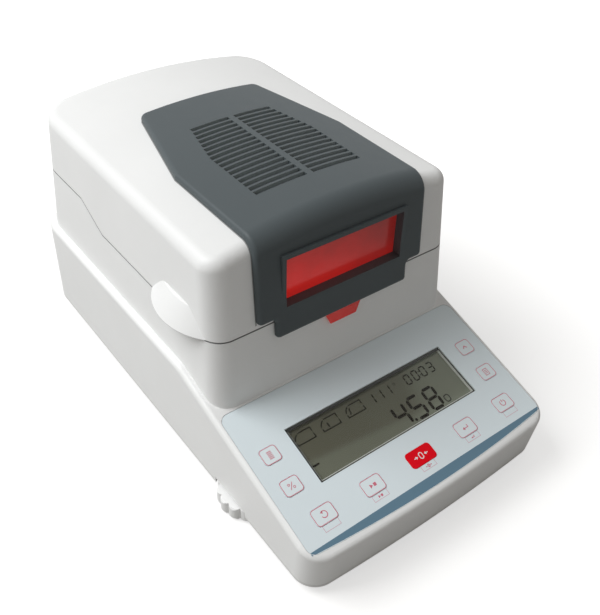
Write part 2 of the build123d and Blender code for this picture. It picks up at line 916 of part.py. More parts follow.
with BuildPart() as shield:
    with BuildSketch(Plane.XZ.offset(-weigh_y)):
        with BuildLine():
            outer = shield_radius
            Polyline(
                (outer - shield_thick, plate_top), (outer + shield_foot, plate_top),
                (outer + shield_foot, plate_top + shield_thick), (outer, plate_top + shield_thick),
                (outer, shield_top), (outer - shield_thick, shield_top), close=True,
            )
        make_face()
    revolve(axis=weigh_axis)
save(shield.part, "draft_shield")

with BuildPart() as carrier:
    add(rod(0, weigh_y, stem_radius, cell_top, pan_seat - carrier_thick))
    add(rod(0, weigh_y, 2 * stem_radius, pan_seat - 2 * carrier_thick, pan_seat - carrier_thick))
    with BuildSketch(Plane.XY.offset(pan_seat - carrier_thick)):
        with Locations((0, weigh_y)):
            Circle(2 * stem_radius)
            with PolarLocations(0, 4, start_angle=45):
                SlotCenterToCenter(2 * carrier_reach - carrier_arm, carrier_arm)
    extrude(amount=carrier_thick)
save(carrier.part, "pan_carrier")

with BuildPart() as sample_pan:
    with BuildSketch(Plane.XZ.offset(-weigh_y)):
        with BuildLine():
            flare = pan_radius + pan_thick
            Polyline(
                (0, pan_seat), (pan_radius, pan_seat), (flare + pan_thick, pan_rim - pan_thick),
                (pan_radius + pan_lip, pan_rim - pan_thick), (pan_radius + pan_lip, pan_rim), (flare, pan_rim),
                (pan_radius - pan_thick, pan_seat + pan_thick), (0, pan_seat + pan_thick), close=True,
            )
        make_face()
    revolve(axis=weigh_axis)
save(sample_pan.part, "sample_pan")

with BuildPart() as handler:
    with BuildSketch(Plane.XY.offset(shield_top)):
        with Locations((0, weigh_y)):
            Circle(shield_radius + shield_thick)
        with Locations((0, weigh_y - shield_radius - handle_reach / 2)):
            Rectangle(handle_width, handle_reach + 2 * shield_thick)
        with Locations((0, weigh_y)):
            Circle(shield_radius + shield_thick - handler_width, mode=Mode.SUBTRACT)
    extrude(amount=handler_thick)
    with BuildSketch(Plane.XY.offset(shield_top)):
        with Locations((0, weigh_y - shield_radius - handle_reach - shield_thick + handler_thick / 2)):
            Rectangle(handle_width, handler_thick)
    extrude(amount=handle_rise)
    fillet(handler.edges().filter_by(Axis.Z).group_by(Axis.Y)[0], handler_thick / 3)
save(handler.part, "pan_handler")

# Round spirit level on the chamber plate
with BuildPart() as level_cup:
    add(rod(level_x, level_y, level_radius, plate_top, plate_top + level_height))
    add(rod(level_x, level_y, level_radius - level_wall, plate_top + level_wall, plate_top + level_height),
        mode=Mode.SUBTRACT)
    chamfer(level_cup.edges().group_by(Axis.Z)[-1].sort_by(SortBy.RADIUS)[-1], level_wall / 3)
save(level_cup.part, "level_cup")

with BuildPart() as level_vial:
    add(rod(level_x, level_y, level_radius - level_wall, plate_top + level_wall,
            plate_top + level_height - seam_gap))
save(level_vial.part, "level_vial")

# Load cell under the chamber, its free end below the carrier
with BuildPart() as cell:
    with BuildSketch(Plane.YZ):
        with Locations((weigh_y - cell_width / 2 + cell_length / 2, cell_low + cell_height / 2)):
            Rectangle(cell_length, cell_height)
            with Locations((-cell_bore, 0), (cell_bore, 0)):
                Circle(cell_bore, mode=Mode.SUBTRACT)
            Rectangle(2 * cell_bore, cell_bore, mode=Mode.SUBTRACT)
    extrude(amount=cell_width / 2, both=True)
save(cell.part, "load_cell")

with BuildPart() as bracket:
    with BuildSketch(Plane.XY.offset(pan_floor_top)):
        with Locations((0, cell_rear - bracket_width / 2)):
            RectangleRounded(bracket_width * 2, bracket_width, wall)
    extrude(amount=wall)
    with BuildSketch(Plane.XY.offset(pan_floor_top)):
        with Locations((0, cell_rear - bracket_width / 4)):
            Rectangle(cell_width, bracket_width / 2)
    extrude(amount=cell_low - pan_floor_top)
save(bracket.part, "cell_bracket")

for name, front, rear in (("main_board", main_post_front, main_post_rear),
                          ("power_board", power_post_front, power_post_rear)):
    with BuildPart() as board:
        with BuildSketch(Plane.XY.offset(main_board_low)):
            with Locations((0, (front + rear) / 2)):
                Rectangle(2 * (post_x + board_margin), rear - front + 2 * board_margin)
        extrude(amount=board_thick)
    save(board.part, name)

with BuildPart() as transformer:
    with BuildSketch(Plane.XY.offset(main_board_low + board_thick)):
        with Locations((transformer_x, transformer_y)):
            Rectangle(transformer_width, transformer_depth)
    extrude(amount=transformer_height)
    with BuildSketch(Plane.XY.offset(main_board_low + board_thick)):
        with Locations((transformer_x, transformer_y)):
            RectangleRounded(winding_width, winding_depth, winding_corner)
    extrude(amount=winding_height)
save(transformer.part, "transformer")

# Rear connectors
with BuildPart() as inlet:
    with BuildSketch(back(inlet_x, 0)) as flange:
        RectangleRounded(2 * inlet_ear, 2 * inlet_high + 2 * wall, 2 * wall)
    extrude(amount=inlet_flange)
    with BuildSketch(back(inlet_x, 0)):
        Rectangle(2 * inlet_half, 2 * inlet_high)
    extrude(amount=-inlet_depth)
    with BuildSketch(back(inlet_x, inlet_flange)):
        with BuildLine():
            half = inlet_half - inlet_wall
            high = inlet_high - inlet_wall
            Polyline((-half, -high), (half, -high), (half, high - inlet_cut), (half - inlet_cut, high),
                     (inlet_cut - half, high), (-half, high - inlet_cut), close=True)
        make_face()
    extrude(amount=-inlet_well, mode=Mode.SUBTRACT)
save(inlet.part, "power_inlet")

with BuildPart() as pins:
    with BuildSketch(back(inlet_x, inlet_flange - inlet_well)):
        with Locations((-inlet_pin_pitch, -inlet_pin_drop), (0, inlet_pin_drop),
                       (inlet_pin_pitch, -inlet_pin_drop)):
            Rectangle(inlet_pin_thick, inlet_pin_wide)
    extrude(amount=inlet_pin_length)
save(pins.part, "inlet_pins")

with BuildPart() as fuse:
    with BuildSketch(back(fuse_x, 0)):
        Circle(fuse_radius + inlet_flange)
    extrude(amount=inlet_flange)
    with BuildSketch(back(fuse_x, 0)):
        Circle(fuse_radius)
    extrude(amount=-inlet_depth)
    with BuildSketch(back(fuse_x, inlet_flange)):
        Circle(fuse_radius)
    extrude(amount=inlet_flange)
    with BuildSketch(back(fuse_x, 2 * inlet_flange)):
        Rectangle(2 * fuse_radius, fuse_slot)
    extrude(amount=-inlet_flange / 2, mode=Mode.SUBTRACT)
save(fuse.part, "fuse_holder")

with BuildPart() as port:
    with BuildSketch(back(port_x, 0)):
        RectangleRounded(2 * port_half, 2 * port_high, port_corner)
    extrude(amount=port_flange)
    with BuildSketch(back(port_x, 0)):
        Trapezoid(2 * (port_shell + port_step), 2 * port_rise, port_lean, port_lean)
    extrude(amount=-inlet_depth / 2)
    with BuildSketch(back(port_x, 0)):
        Trapezoid(2 * port_shell, 2 * port_inner, port_lean, port_lean)
    extrude(amount=port_depth)
    with BuildSketch(back(port_x, port_depth)):
        Trapezoid(2 * (port_shell - port_wall), 2 * (port_inner - port_wall), port_lean, port_lean)
    extrude(amount=-port_depth, mode=Mode.SUBTRACT)
    for side in (-1, 1):
        with BuildSketch(back(port_x + side * port_nut_x, port_flange)):
            RegularPolygon(port_nut, 6)
        extrude(amount=port_depth - port_flange)
save(port.part, "serial_port")

# Lid
lid_low = part_front + lid_gap
with BuildPart() as grips:
    for side in (-1, 1):
        lower = (lid_low, grip_reach, grip_length)
        upper = (lid_low + grip_height, grip_lean, grip_high_length)
        for z, reach, run in (lower, upper):
            with BuildSketch(Plane.XY.offset(z)):
                root = side * (block_side(z) - lid_wall / 2)
                tip = side * (block_side(z) + reach)
                with BuildLine():
                    Line((root, grip_centre - run / 2), (root, grip_centre + run / 2))
                    Spline((root, grip_centre + run / 2), (tip, grip_centre + run * grip_flat),
                           (tip, grip_centre - run * grip_flat), (root, grip_centre - run / 2))
                make_face()
        loft(ruled=True)
        fillet(grips.faces().filter_by(lambda f: f.center().X * side > 0).sort_by(Axis.Z)[-1].edges()
               .filter_by(GeomType.LINE, reverse=True), grip_round)

with BuildPart() as lid_hollow:
    add(rounded_block(-lid_wall, -lid_wall))

# Posts that the heating tray is screwed to
with BuildPart() as lid_posts:
    for x, y, low in tray_posts:
        add(rod(x, y, boss_radius, low, block_high))
    add(rounded_block(0, 0), mode=Mode.INTERSECT)

with BuildPart() as lid_shell:
    add(rounded_block(0, 0))
    add(grips.part)
    add(parting(lid_gap), mode=Mode.SUBTRACT)
    add(lid_hollow.part, mode=Mode.SUBTRACT)
    add(lid_posts.part)
    for x, y, low in tray_posts:
        add(rod(x, y, case_screw_radius, low, low + case_screw_length + case_screw_play), mode=Mode.SUBTRACT)
    # Opening under the grille and for the window frame
    add(cover_prism(slot_margin - slot_land, slot_front - slot_land, slot_rear + slot_land,
                    cover_corner), mode=Mode.SUBTRACT)
    add(window_box(window_frame + window_gap, 2 * block_low_front, window_back + 2 * window_thick),
        mode=Mode.SUBTRACT)
    # Notches for the hinge knuckles
    for side in (-1, 1):
        add(hinge_box(side, hinge_span + notch_gap, part_rear - wall, hinge_z + hinge_radius + notch_gap,
                      hinge_y - leaf_reach, hinge_y + 2 * hinge_radius), mode=Mode.SUBTRACT)
save(lid_shell.part, "lid_shell")

# Vent cover: dark panel over the top and front of the lid, with the grille, the window frame and the apron
with BuildPart() as cover_blank:
    add(rounded_block(cover_proud, cover_proud))
    add(cover_prism(0, 2 * block_low_front, cover_rear, cover_corner), mode=Mode.INTERSECT)
    add(cover_front(), mode=Mode.INTERSECT)
    core = rounded_block(cover_proud - seam_gap, cover_proud - seam_gap).solid()
    rim = cover_blank.edges().filter_by(lambda e: not core.is_inside(e.center()))
    rim = rim.filter_by(lambda e: abs(e.center().X) > 1 or e.center().Y > cover_waist
                        or e.center().Z < cover_low)
    fillet(rim, cover_round)

with BuildPart() as vent_cover:
    add(cover_blank.part)
    add(rounded_block(cover_seat, cover_seat), mode=Mode.SUBTRACT)
    add(chamber(apron_gap, lid_gap), mode=Mode.SUBTRACT)
    add(window_box(window_frame, block_low_front, window_back))
    add(window_box(0, 2 * block_low_front, window_back), mode=Mode.SUBTRACT)
    # Grille: two groups of slots either side of a spine
    for row in range(slot_rows):
        y = slot_front + row * slot_pitch
        reach = cover_half(y) - slot_margin - slot_spine / 2
        with BuildSketch(Plane.XY.offset(block_high)):
            with Locations((-(slot_spine + reach) / 2, y), ((slot_spine + reach) / 2, y)):
                Rectangle(reach, slot_width)
        extrude(amount=slot_depth, both=True, mode=Mode.SUBTRACT)
    add(tongue_form(tongue_play, cover_seat), mode=Mode.SUBTRACT)
save(vent_cover.part, "vent_cover")

# Dark screen under the grille, in the lid's opening
with BuildPart() as screen:
    add(rounded_block(0, 0))
    add(rounded_block(-screen_thick, -screen_thick), mode=Mode.SUBTRACT)
    add(cover_prism(slot_margin - slot_land + seam_gap, slot_front - slot_land + seam_gap,
                    slot_rear + slot_land - seam_gap, cover_corner - seam_gap), mode=Mode.INTERSECT)
save(screen.part, "grille_screen")

with BuildPart() as window:
    with BuildSketch(Plane.XZ.offset(-window_back)):
        with Locations((0, (window_low + window_high) / 2)):
            Rectangle(2 * (window_half + window_lap), window_high - window_low + 2 * window_lap)
    extrude(amount=-window_thick)
save(window.part, "window_plate")

save(tongue_form(0, tongue_gap), "light_tongue")

# Heating module
with BuildPart() as tray:
    add(block(-lid_wall - tray_gap, 0))
    add(parting(tray_high - part_front), mode=Mode.INTERSECT)
    add(parting(tray_low - part_front), mode=Mode.SUBTRACT)
    add(rod(0, weigh_y, heater_radius - ring_width, glass_low, block_high), mode=Mode.SUBTRACT)
    add(rod(probe_x, probe_y, probe_radius + probe_fit, probe_low, block_high), mode=Mode.SUBTRACT)
    for x, y, low in tray_posts:
        add(rod(x, y, case_screw_radius, 0, block_high), mode=Mode.SUBTRACT)
    for side in (-1, 1):
        add(hinge_box(side, hinge_span + notch_gap, part_rear, hinge_z + 2 * hinge_radius,
                      hinge_y - hinge_radius - leaf_thick - notch_gap, hinge_y + 2 * hinge_radius),
            mode=Mode.SUBTRACT)
save(tray.part, "heater_tray")

with BuildPart() as tray_screws:
    for x, y, low in tray_posts:
        add(rod(x, y, case_screw_radius - screw_fit, low - tray_thick - 1, low + case_screw_length))
        add(rod(x, y, case_screw_head, low - tray_thick - 2, low - tray_thick))
save(tray_screws.part, "tray_screws")

with BuildPart() as glass:
    add(rod(0, weigh_y, heater_radius, glass_low, tray_low))
save(glass.part, "heater_glass")

with BuildPart() as ring:
    add(rod(0, weigh_y, heater_radius + ring_width, glass_low - ring_thick, tray_low))
    add(rod(0, weigh_y, heater_radius + tray_gap / 2, glass_low, tray_low), mode=Mode.SUBTRACT)
    add(rod(0, weigh_y, heater_radius - ring_width, glass_low - ring_thick, tray_low), mode=Mode.SUBTRACT)
save(ring.part, "glass_ring")

with BuildPart() as reflector:
    with BuildSketch(Plane.XZ.offset(-weigh_y)):
        with BuildLine() as bowl:
            mouth = heater_radius - ring_width
            side_wall = Polyline((heater_radius, tray_high), (mouth, tray_high),
                                 (reflector_shoulder, reflector_top - reflector_round))
            TangentArc(side_wall @ 1, (reflector_shoulder - reflector_round, reflector_top),
                       tangent=side_wall % 1)
            Line((reflector_shoulder - reflector_round, reflector_top), (0, reflector_top))
            offset(amount=reflector_thick, side=Side.RIGHT, closed=True)
        make_face()
    revolve(axis=weigh_axis)
    for x in (-lamp_end_x, lamp_end_x):
        add(rod(x, lamp_end_y, holder_tube + seam_gap, lamp_z, block_high), mode=Mode.SUBTRACT)
save(reflector.part, "reflector")

# Ring lamp with two legs up into its ceramic holder
with BuildPart() as lamp:
    across = (sin(lamp_turn), cos(lamp_turn), 0)
    along = (cos(lamp_turn), -sin(lamp_turn), 0)
    with BuildSketch(Plane(origin=(0, weigh_y, 0), x_dir=across, z_dir=along)):
        with Locations((lamp_radius, lamp_z)):
            Circle(lamp_tube)
    revolve(axis=weigh_axis, revolution_arc=lamp_opening - 360)
    for x in (-lamp_end_x, lamp_end_x):
        add(rod(x, lamp_end_y, lamp_leg, lamp_z, reflector_top + reflector_thick + holder_plate))
save(lamp.part, "halogen_lamp")

with BuildPart() as holder:
    holder_seat = reflector_top + reflector_thick
    with BuildSketch(Plane.XY.offset(holder_seat)):
        with Locations((0, lamp_end_y)):
            RectangleRounded(holder_width, holder_depth, wall)
    extrude(amount=holder_plate)
    for x in (-lamp_end_x, lamp_end_x):
        add(rod(x, lamp_end_y, holder_tube, lamp_z + lamp_tube + seam_gap, holder_seat))
        add(rod(x, lamp_end_y, lamp_leg + hinge_fit, lamp_z, block_high), mode=Mode.SUBTRACT)
save(holder.part, "lamp_holder")

with BuildPart() as probe:
    add(rod(probe_x, probe_y, probe_radius, probe_low, tray_high + probe_tail))
    fillet(probe.edges().sort_by(Axis.Z)[0], probe_radius / 2)
    for low in (tray_low - probe_nut, tray_high):
        add(rod(probe_x, probe_y, 2 * probe_radius, low, low + probe_nut))
save(probe.part, "temperature_probe")

with BuildPart() as bumpers:
    for side in (-1, 1):
        for y in (bumper_front, bumper_rear):
            add(rod(side * bumper_x, y, bumper_radius, part_front, tray_low - bumper_gap))
    fillet(bumpers.edges().group_by(Axis.Z)[-1], bumper_round)
save(bumpers.part, "lid_bumpers")

# Hinges: fixed leaves on the housing roof, moving leaves on the lid's rear wall, and the pins
with BuildPart() as hinge_bases:
    for side in (-1, 1):
        add(barrel(side, hinge_span, hinge_radius))
        add(hinge_box(side, hinge_span, part_rear, hinge_z, hinge_y - hinge_radius, hinge_y))
        add(hinge_box(side, knuckle_length / 2 + knuckle_gap, part_rear, hinge_z + 2 * hinge_radius,
                      hinge_y - hinge_radius, hinge_y + 2 * hinge_radius), mode=Mode.SUBTRACT)
        add(hinge_box(side, hinge_span, part_rear, part_rear + leaf_thick,
                      hinge_y - hinge_radius - leaf_reach, hinge_y - hinge_radius))
        add(barrel(side, 2 * hinge_span, hinge_pin_radius + hinge_fit), mode=Mode.SUBTRACT)
save(hinge_bases.part, "hinge_bases")

with BuildPart() as leaf_space:
    for side in (-1, 1):
        for half, low in ((knuckle_length / 2, hinge_z), (hinge_span, hinge_z + hinge_radius + 2 * notch_gap)):
            add(hinge_box(side, half, low, hinge_z + leaf_rise, hinge_y - leaf_reach, hinge_y + leaf_reach))
with BuildPart() as hinge_leaves:
    add(block(-lid_wall, 0))
    add(block(-lid_wall - leaf_thick, lid_wall), mode=Mode.SUBTRACT)
    add(leaf_space.part, mode=Mode.INTERSECT)
    for side in (-1, 1):
        add(barrel(side, knuckle_length / 2, hinge_radius))
        add(barrel(side, 2 * hinge_span, hinge_pin_radius + hinge_fit), mode=Mode.SUBTRACT)
save(hinge_leaves.part, "hinge_leaves")

with BuildPart() as hinge_pins:
    for side in (-1, 1):
        add(barrel(side, hinge_span, hinge_pin_radius))
save(hinge_pins.part, "hinge_pins")
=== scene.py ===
"""Dresses a halogen moisture analyzer: finishes, printed keypad, display, window with a painted glow, and studio.
"""

import logging
import math
from dataclasses import dataclass, field
from enum import Enum

import bmesh
import bpy
from mathutils import Matrix, Vector


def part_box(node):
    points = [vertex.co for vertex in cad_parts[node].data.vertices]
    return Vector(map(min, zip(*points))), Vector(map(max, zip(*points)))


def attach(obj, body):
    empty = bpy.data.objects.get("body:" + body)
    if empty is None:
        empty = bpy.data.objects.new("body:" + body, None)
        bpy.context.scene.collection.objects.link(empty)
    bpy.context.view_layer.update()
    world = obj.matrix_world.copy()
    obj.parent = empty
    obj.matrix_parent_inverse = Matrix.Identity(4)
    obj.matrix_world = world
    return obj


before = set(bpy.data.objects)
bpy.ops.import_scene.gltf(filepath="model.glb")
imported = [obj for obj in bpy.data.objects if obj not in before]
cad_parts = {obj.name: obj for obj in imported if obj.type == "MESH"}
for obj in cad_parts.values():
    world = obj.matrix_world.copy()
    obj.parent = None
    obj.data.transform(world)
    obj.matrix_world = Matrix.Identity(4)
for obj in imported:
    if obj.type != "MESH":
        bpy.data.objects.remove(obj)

log = logging.getLogger("moisture_analyzer")

MM = 0.001

Point = tuple[float, float]
Colour = tuple[float, float, float]


class Reading:
    """A number read at each point of a surface, on which Python's own arithmetic works."""

    def __init__(self, recipe: "Recipe", socket: bpy.types.NodeSocket) -> None:
        """Keeps the output that holds the number.

        Args:
            recipe: The recipe that further nodes are added to.
            socket: The output that holds the number.
        """
        self.recipe = recipe
        self.socket = socket

    def __add__(self, other: "Reading | float") -> "Reading":
        """Sum of two readings."""
        return self.recipe.maths("ADD", self, other)

    def __radd__(self, other: float) -> "Reading":
        """Sum with a plain number on the left."""
        return self.recipe.maths("ADD", other, self)

    def __sub__(self, other: "Reading | float") -> "Reading":
        """Difference of two readings."""
        return self.recipe.maths("SUBTRACT", self, other)

    def __rsub__(self, other: float) -> "Reading":
        """Difference with a plain number on the left."""
        return self.recipe.maths("SUBTRACT", other, self)

    def __mul__(self, other: "Reading | float") -> "Reading":
        """Product of two readings."""
        return self.recipe.maths("MULTIPLY", self, other)

    def __rmul__(self, other: float) -> "Reading":
        """Product with a plain number on the left."""
        return self.recipe.maths("MULTIPLY", other, self)

    def __truediv__(self, other: "Reading | float") -> "Reading":
        """Quotient of two readings."""
        return self.recipe.maths("DIVIDE", self, other)

    def __pow__(self, other: float) -> "Reading":
        """This reading raised to a power."""
        return self.recipe.maths("POWER", self, other)

    def wave(self) -> "Reading":
        """Sine of this reading."""
        return self.recipe.maths("SINE", self)

    def between(self, low: float, high: float) -> "Reading":
        """Smooth step of this reading.

        Args:
            low: Where the step starts at 0.
            high: Where the step ends at 1.

        Returns:
            The step, from 0 to 1.
        """
        ramp = self.recipe.node("ShaderNodeMapRange", {"interpolation_type": "SMOOTHSTEP"},
                                {"Value": self, "From Min": low, "From Max": high})
        return Reading(self.recipe, ramp.outputs["Result"])


class Recipe:
    """The nodes of one material, added one call at a time."""

    def __init__(self, name: str) -> None:
        """Starts an empty material.

        Args:
            name: The material's name.
        """
        self.material = bpy.data.materials.new(name)
        self.material.use_nodes = True
        self.tree = self.material.node_tree
        self.tree.nodes.clear()

    def node(self, kind: str, settings: dict[str, object] | None = None,
             inputs: dict[str | int, object] | None = None) -> bpy.types.Node:
        """Adds one node.

        Args:
            kind: The node's type.
            settings: Its properties, set first.
            inputs: Values, readings or output sockets for its inputs, by name or place.

        Returns:
            The new node.
        """
        made = self.tree.nodes.new(kind)
        for key, value in (settings or {}).items():
            setattr(made, key, value)
        for key, value in (inputs or {}).items():
            target = made.inputs[key]
            source = value.socket if isinstance(value, Reading) else value
            if isinstance(source, bpy.types.NodeSocket):
                self.tree.links.new(source, target)
            elif hasattr(target.default_value, "__len__") and len(target.default_value) == len(source) + 1:
                target.default_value = (*source, 1.0)
            else:
                target.default_value = source
        return made

    def maths(self, operation: str, *values: "Reading | float") -> Reading:
        """Adds a Math node.

        Args:
            operation: Its operation.
            values: What it works on.

        Returns:
            The result.
        """
        made = self.node("ShaderNodeMath", {"operation": operation}, dict(enumerate(values)))
        return Reading(self, made.outputs[0])

    def place(self) -> bpy.types.NodeSocket:
        """Position on the part, in metres."""
        return self.node("ShaderNodeTexCoord").outputs["Object"]

    def axes(self) -> tuple[Reading, Reading, Reading]:
        """Position on the part as three readings."""
        parts = self.node("ShaderNodeSeparateXYZ", None, {0: self.place()})
        return tuple(Reading(self, parts.outputs[axis]) for axis in range(3))

    def noise(self, size: float, detail: float = 2.0,
              stretch: tuple[float, float, float] = (1, 1, 1)) -> Reading:
        """Cloudy pattern from 0 to 1.

        Args:
            size: Size of one blotch in metres.
            detail: How many finer layers it holds.
            stretch: How much longer blotches are along each axis.

        Returns:
            The pattern.
        """
        scale = tuple(1 / (size * share) for share in stretch)
        mapped = self.node("ShaderNodeMapping", None, {"Vector": self.place(), "Scale": scale})
        made = self.node("ShaderNodeTexNoise", None,
                         {"Vector": mapped.outputs[0], "Scale": 1.0, "Detail": detail, "Roughness": 0.55})
        return Reading(self, made.outputs["Fac"])

    def mix(self, share: "Reading | float", first: object, second: object) -> bpy.types.NodeSocket:
        """Mixes two colours.

        Args:
            share: Share of the second colour.
            first: First colour or socket.
            second: Second colour or socket.

        Returns:
            The mixed colour.
        """
        made = self.node("ShaderNodeMix", {"data_type": "RGBA"}, {0: share, 6: first, 7: second})
        return made.outputs[2]

    def share(self, value: Reading, low: float, high: float) -> Reading:
        """How far a reading has come from one number to another, kept from 0 to 1.

        Args:
            value: The reading.
            low: Where the share is 0.
            high: Where the share is 1.

        Returns:
            The share.
        """
        ramp = self.node("ShaderNodeMapRange", None, {"Value": value, "From Min": low, "From Max": high})
        return Reading(self, ramp.outputs["Result"])

    def bump(self, height: Reading, depth: float) -> bpy.types.NodeSocket:
        """Turns a height pattern into a bent normal.

        Args:
            height: The pattern, from 0 to 1.
            depth: Its depth in metres.

        Returns:
            The normal.
        """
        made = self.node("ShaderNodeBump", None, {"Height": height, "Distance": depth, "Strength": 1.0})
        return made.outputs["Normal"]

    def surface(self, inputs: dict[str | int, object]) -> bpy.types.NodeSocket:
        """Adds the main surface shader and gives its output."""
        return self.node("ShaderNodeBsdfPrincipled", None, inputs).outputs[0]

    def finished(self, shader: bpy.types.NodeSocket) -> bpy.types.Material:
        """Connects the shader to the output and gives the material."""
        self.node("ShaderNodeOutputMaterial", None, {"Surface": shader})
        return self.material


@dataclass(frozen=True)
class Plastic:
    """Moulded plastic with a fine texture and slight clouds in its gloss.

    Attributes:
        name: The finish's name.
        colour: Its colour.
        roughness: Its mean roughness.
        grain: Size of its surface grain in metres.
        depth: Depth of that grain in metres.
        cloud: How far its colour drifts over a hand's breadth.
        shine: How strongly it reflects.
    """

    name: str
    colour: Colour
    roughness: float = 0.45
    grain: float = 0.0006
    depth: float = 0.000012
    cloud: float = 0.03
    shine: float = 0.35

    def tint(self, recipe: Recipe) -> bpy.types.NodeSocket:
        """Colour of the plastic, which drifts a little.

        Args:
            recipe: The recipe that the nodes are added to.

        Returns:
            The colour.
        """
        darker = tuple(value * (1 - 2 * self.cloud) for value in self.colour)
        return recipe.mix(recipe.noise(0.045, 3.0), self.colour, darker)

    def material(self) -> bpy.types.Material:
        """Builds the material."""
        recipe = Recipe(self.name)
        rub = recipe.noise(0.012, 4.0)
        fine = recipe.noise(self.grain, 3.0)
        gloss = self.roughness + (rub - 0.5) * 0.12 + (fine - 0.5) * 0.06
        return recipe.finished(recipe.surface({
            "Base Color": self.tint(recipe), "Roughness": gloss, "Normal": recipe.bump(fine, self.depth),
            "Specular IOR Level": self.shine}))


@dataclass(frozen=True)
class ShellPlastic(Plastic):
    """Moulded plastic of the two shells, with painted shade where they meet each other and along the vent cover's
    edge.

    Attributes:
        shade: How dark the painted shade in a seam gets, from 0 to 1.
        part_front: Height in metres of the middle of the seam at the front.
        part_rear: Height of that seam at the rear.
        ramp_front: Where along the part the seam starts to rise.
        ramp_rear: Where it stops rising.
        cover_front: Half the vent cover's width in front of its waist.
        cover_back: Half its width at its rear edge.
        cover_waist: Where along the part its waist lies.
        cover_rear: Where its rear edge lies.
        cover_corner: Radius of its rear corners.
        cover_low: Height above which the lid can meet the cover.
        core: How far from the middle of a seam it is darkest, in metres.
        fringe: How far from there it has faded.
    """

    shade: float = 0.62
    part_front: float = 0.1234
    part_rear: float = 0.1374
    ramp_front: float = 0.0656
    ramp_rear: float = 0.0960
    cover_front: float = 0.0655
    cover_back: float = 0.0472
    cover_waist: float = 0.0080
    cover_rear: float = 0.0880
    cover_corner: float = 0.0060
    cover_low: float = 0.1262
    core: float = 0.0004
    fringe: float = 0.0007

    def tint(self, recipe: Recipe) -> bpy.types.NodeSocket:
        """Colour of the plastic, with painted shade in the seams."""
        x, y, z = recipe.axes()
        rise = recipe.share(y, self.ramp_front, self.ramp_rear) * (self.part_rear - self.part_front)
        parting = recipe.maths("ABSOLUTE", z - rise - self.part_front)
        half = self.cover_front - recipe.share(y, self.cover_waist, self.cover_rear) * (
            self.cover_front - self.cover_back)
        aside = recipe.maths("MAXIMUM", recipe.maths("ABSOLUTE", x) - half + self.cover_corner, 0.0)
        behind = recipe.maths("MAXIMUM", y - self.cover_rear + self.cover_corner, 0.0)
        edge = recipe.maths("ABSOLUTE", (aside ** 2.0 + behind ** 2.0) ** 0.5 - self.cover_corner)
        # rim: painted shade along the gap round the vent cover's edge, on the lid's top
        rim = edge.between(self.fringe, self.core) * z.between(self.cover_low, self.cover_low + self.core)
        # seam: painted shade in the parting gap between the shells, joined with rim
        seam = recipe.maths("MAXIMUM", parting.between(self.fringe, self.core), rim)
        # near black is the colour of the painted shade
        return recipe.mix(seam * self.shade, super().tint(recipe), (0.02, 0.02, 0.02))


@dataclass(frozen=True)
class GrillePlastic(Plastic):
    """Dark plastic with a vent grille.

    The slot walls that face the front carry painted light, paler than the plastic, so that the shaded slots look
    lit and shallow.

    Attributes:
        painted_light: Colour of the painted light on those walls.
        slot_front: Where along the part the slots start.
        slot_rear: Where they end.
        fade: Length over which the painted light fades there.
    """

    painted_light: Colour = (0.36, 0.40, 0.41)
    slot_front: float = -0.044
    slot_rear: float = 0.047
    fade: float = 0.001

    def tint(self, recipe: Recipe) -> bpy.types.NodeSocket:
        """Colour of the plastic, with painted light on the slot walls that face the front."""
        _, y, _ = recipe.axes()
        normal = recipe.node("ShaderNodeTexCoord").outputs["Normal"]
        facing = recipe.node("ShaderNodeSeparateXYZ", None, {0: normal})
        # painted light on the slot walls that face the front, which lie in shade
        wall = Reading(recipe, facing.outputs[1]).between(-0.5, -0.8)
        behind = y.between(self.slot_front - self.fade, self.slot_front)
        before = y.between(self.slot_rear + self.fade, self.slot_rear)
        return recipe.mix(wall * behind * before, super().tint(recipe), self.painted_light)


@dataclass(frozen=True)
class Rubber:
    """Dull rubber with a dusty bloom on its high spots.

    Attributes:
        name: The finish's name.
        colour: Its colour.
    """

    name: str
    colour: Colour = (0.025, 0.025, 0.026)

    def material(self) -> bpy.types.Material:
        """Builds the material."""
        recipe = Recipe(self.name)
        dust = recipe.noise(0.004, 5.0).between(0.45, 0.75)
        pores = recipe.noise(0.0005, 2.0)
        tint = recipe.mix(dust * 0.35, self.colour, (0.12, 0.115, 0.11))
        return recipe.finished(recipe.surface({
            "Base Color": tint, "Roughness": 0.7 + dust * 0.2, "Normal": recipe.bump(pores, 0.00002)}))


class Brush(Enum):
    """Which way the fine lines of a metal surface run."""

    NONE = (1.0, 1.0, 1.0)
    ACROSS = (40.0, 1.0, 1.0)
    ALONG = (1.0, 40.0, 1.0)
    TURNED = (0.0, 0.0, 0.0)


@dataclass(frozen=True)
class Metal:
    """Bare or plated metal with brushed or turned lines.

    Attributes:
        name: The finish's name.
        colour: Its colour.
        roughness: Its mean roughness.
        brush: Which way its lines run.
        pitch: Spacing of the lines in metres.
        centre: Middle of turned lines, in metres across and along the part.
    """

    name: str
    colour: Colour
    roughness: float = 0.3
    brush: Brush = Brush.ACROSS
    pitch: float = 0.0004
    centre: Point = (0.0, 0.002)

    def lines(self, recipe: Recipe) -> Reading:
        """Height pattern of the lines, from 0 to 1."""
        if self.brush is not Brush.TURNED:
            return recipe.noise(self.pitch, 2.0, self.brush.value)
        x, y, _ = recipe.axes()
        radius = ((x - self.centre[0]) ** 2.0 + (y - self.centre[1]) ** 2.0) ** 0.5
        ripple = (radius * (math.tau / self.pitch)).wave() * 0.5 + 0.5
        return ripple * 0.6 + recipe.noise(self.pitch, 2.0) * 0.4

    def material(self) -> bpy.types.Material:
        """Builds the material."""
        recipe = Recipe(self.name)
        lines = self.lines(recipe)
        stain = recipe.noise(0.02, 4.0)
        darker = tuple(value * 0.82 for value in self.colour)
        tint = recipe.mix(stain, self.colour, darker)
        return recipe.finished(recipe.surface({
            "Base Color": tint, "Metallic": 1.0,
            "Roughness": self.roughness + (lines - 0.5) * 0.15 + (stain - 0.5) * 0.1,
            "Normal": recipe.bump(lines, 0.000008)}))


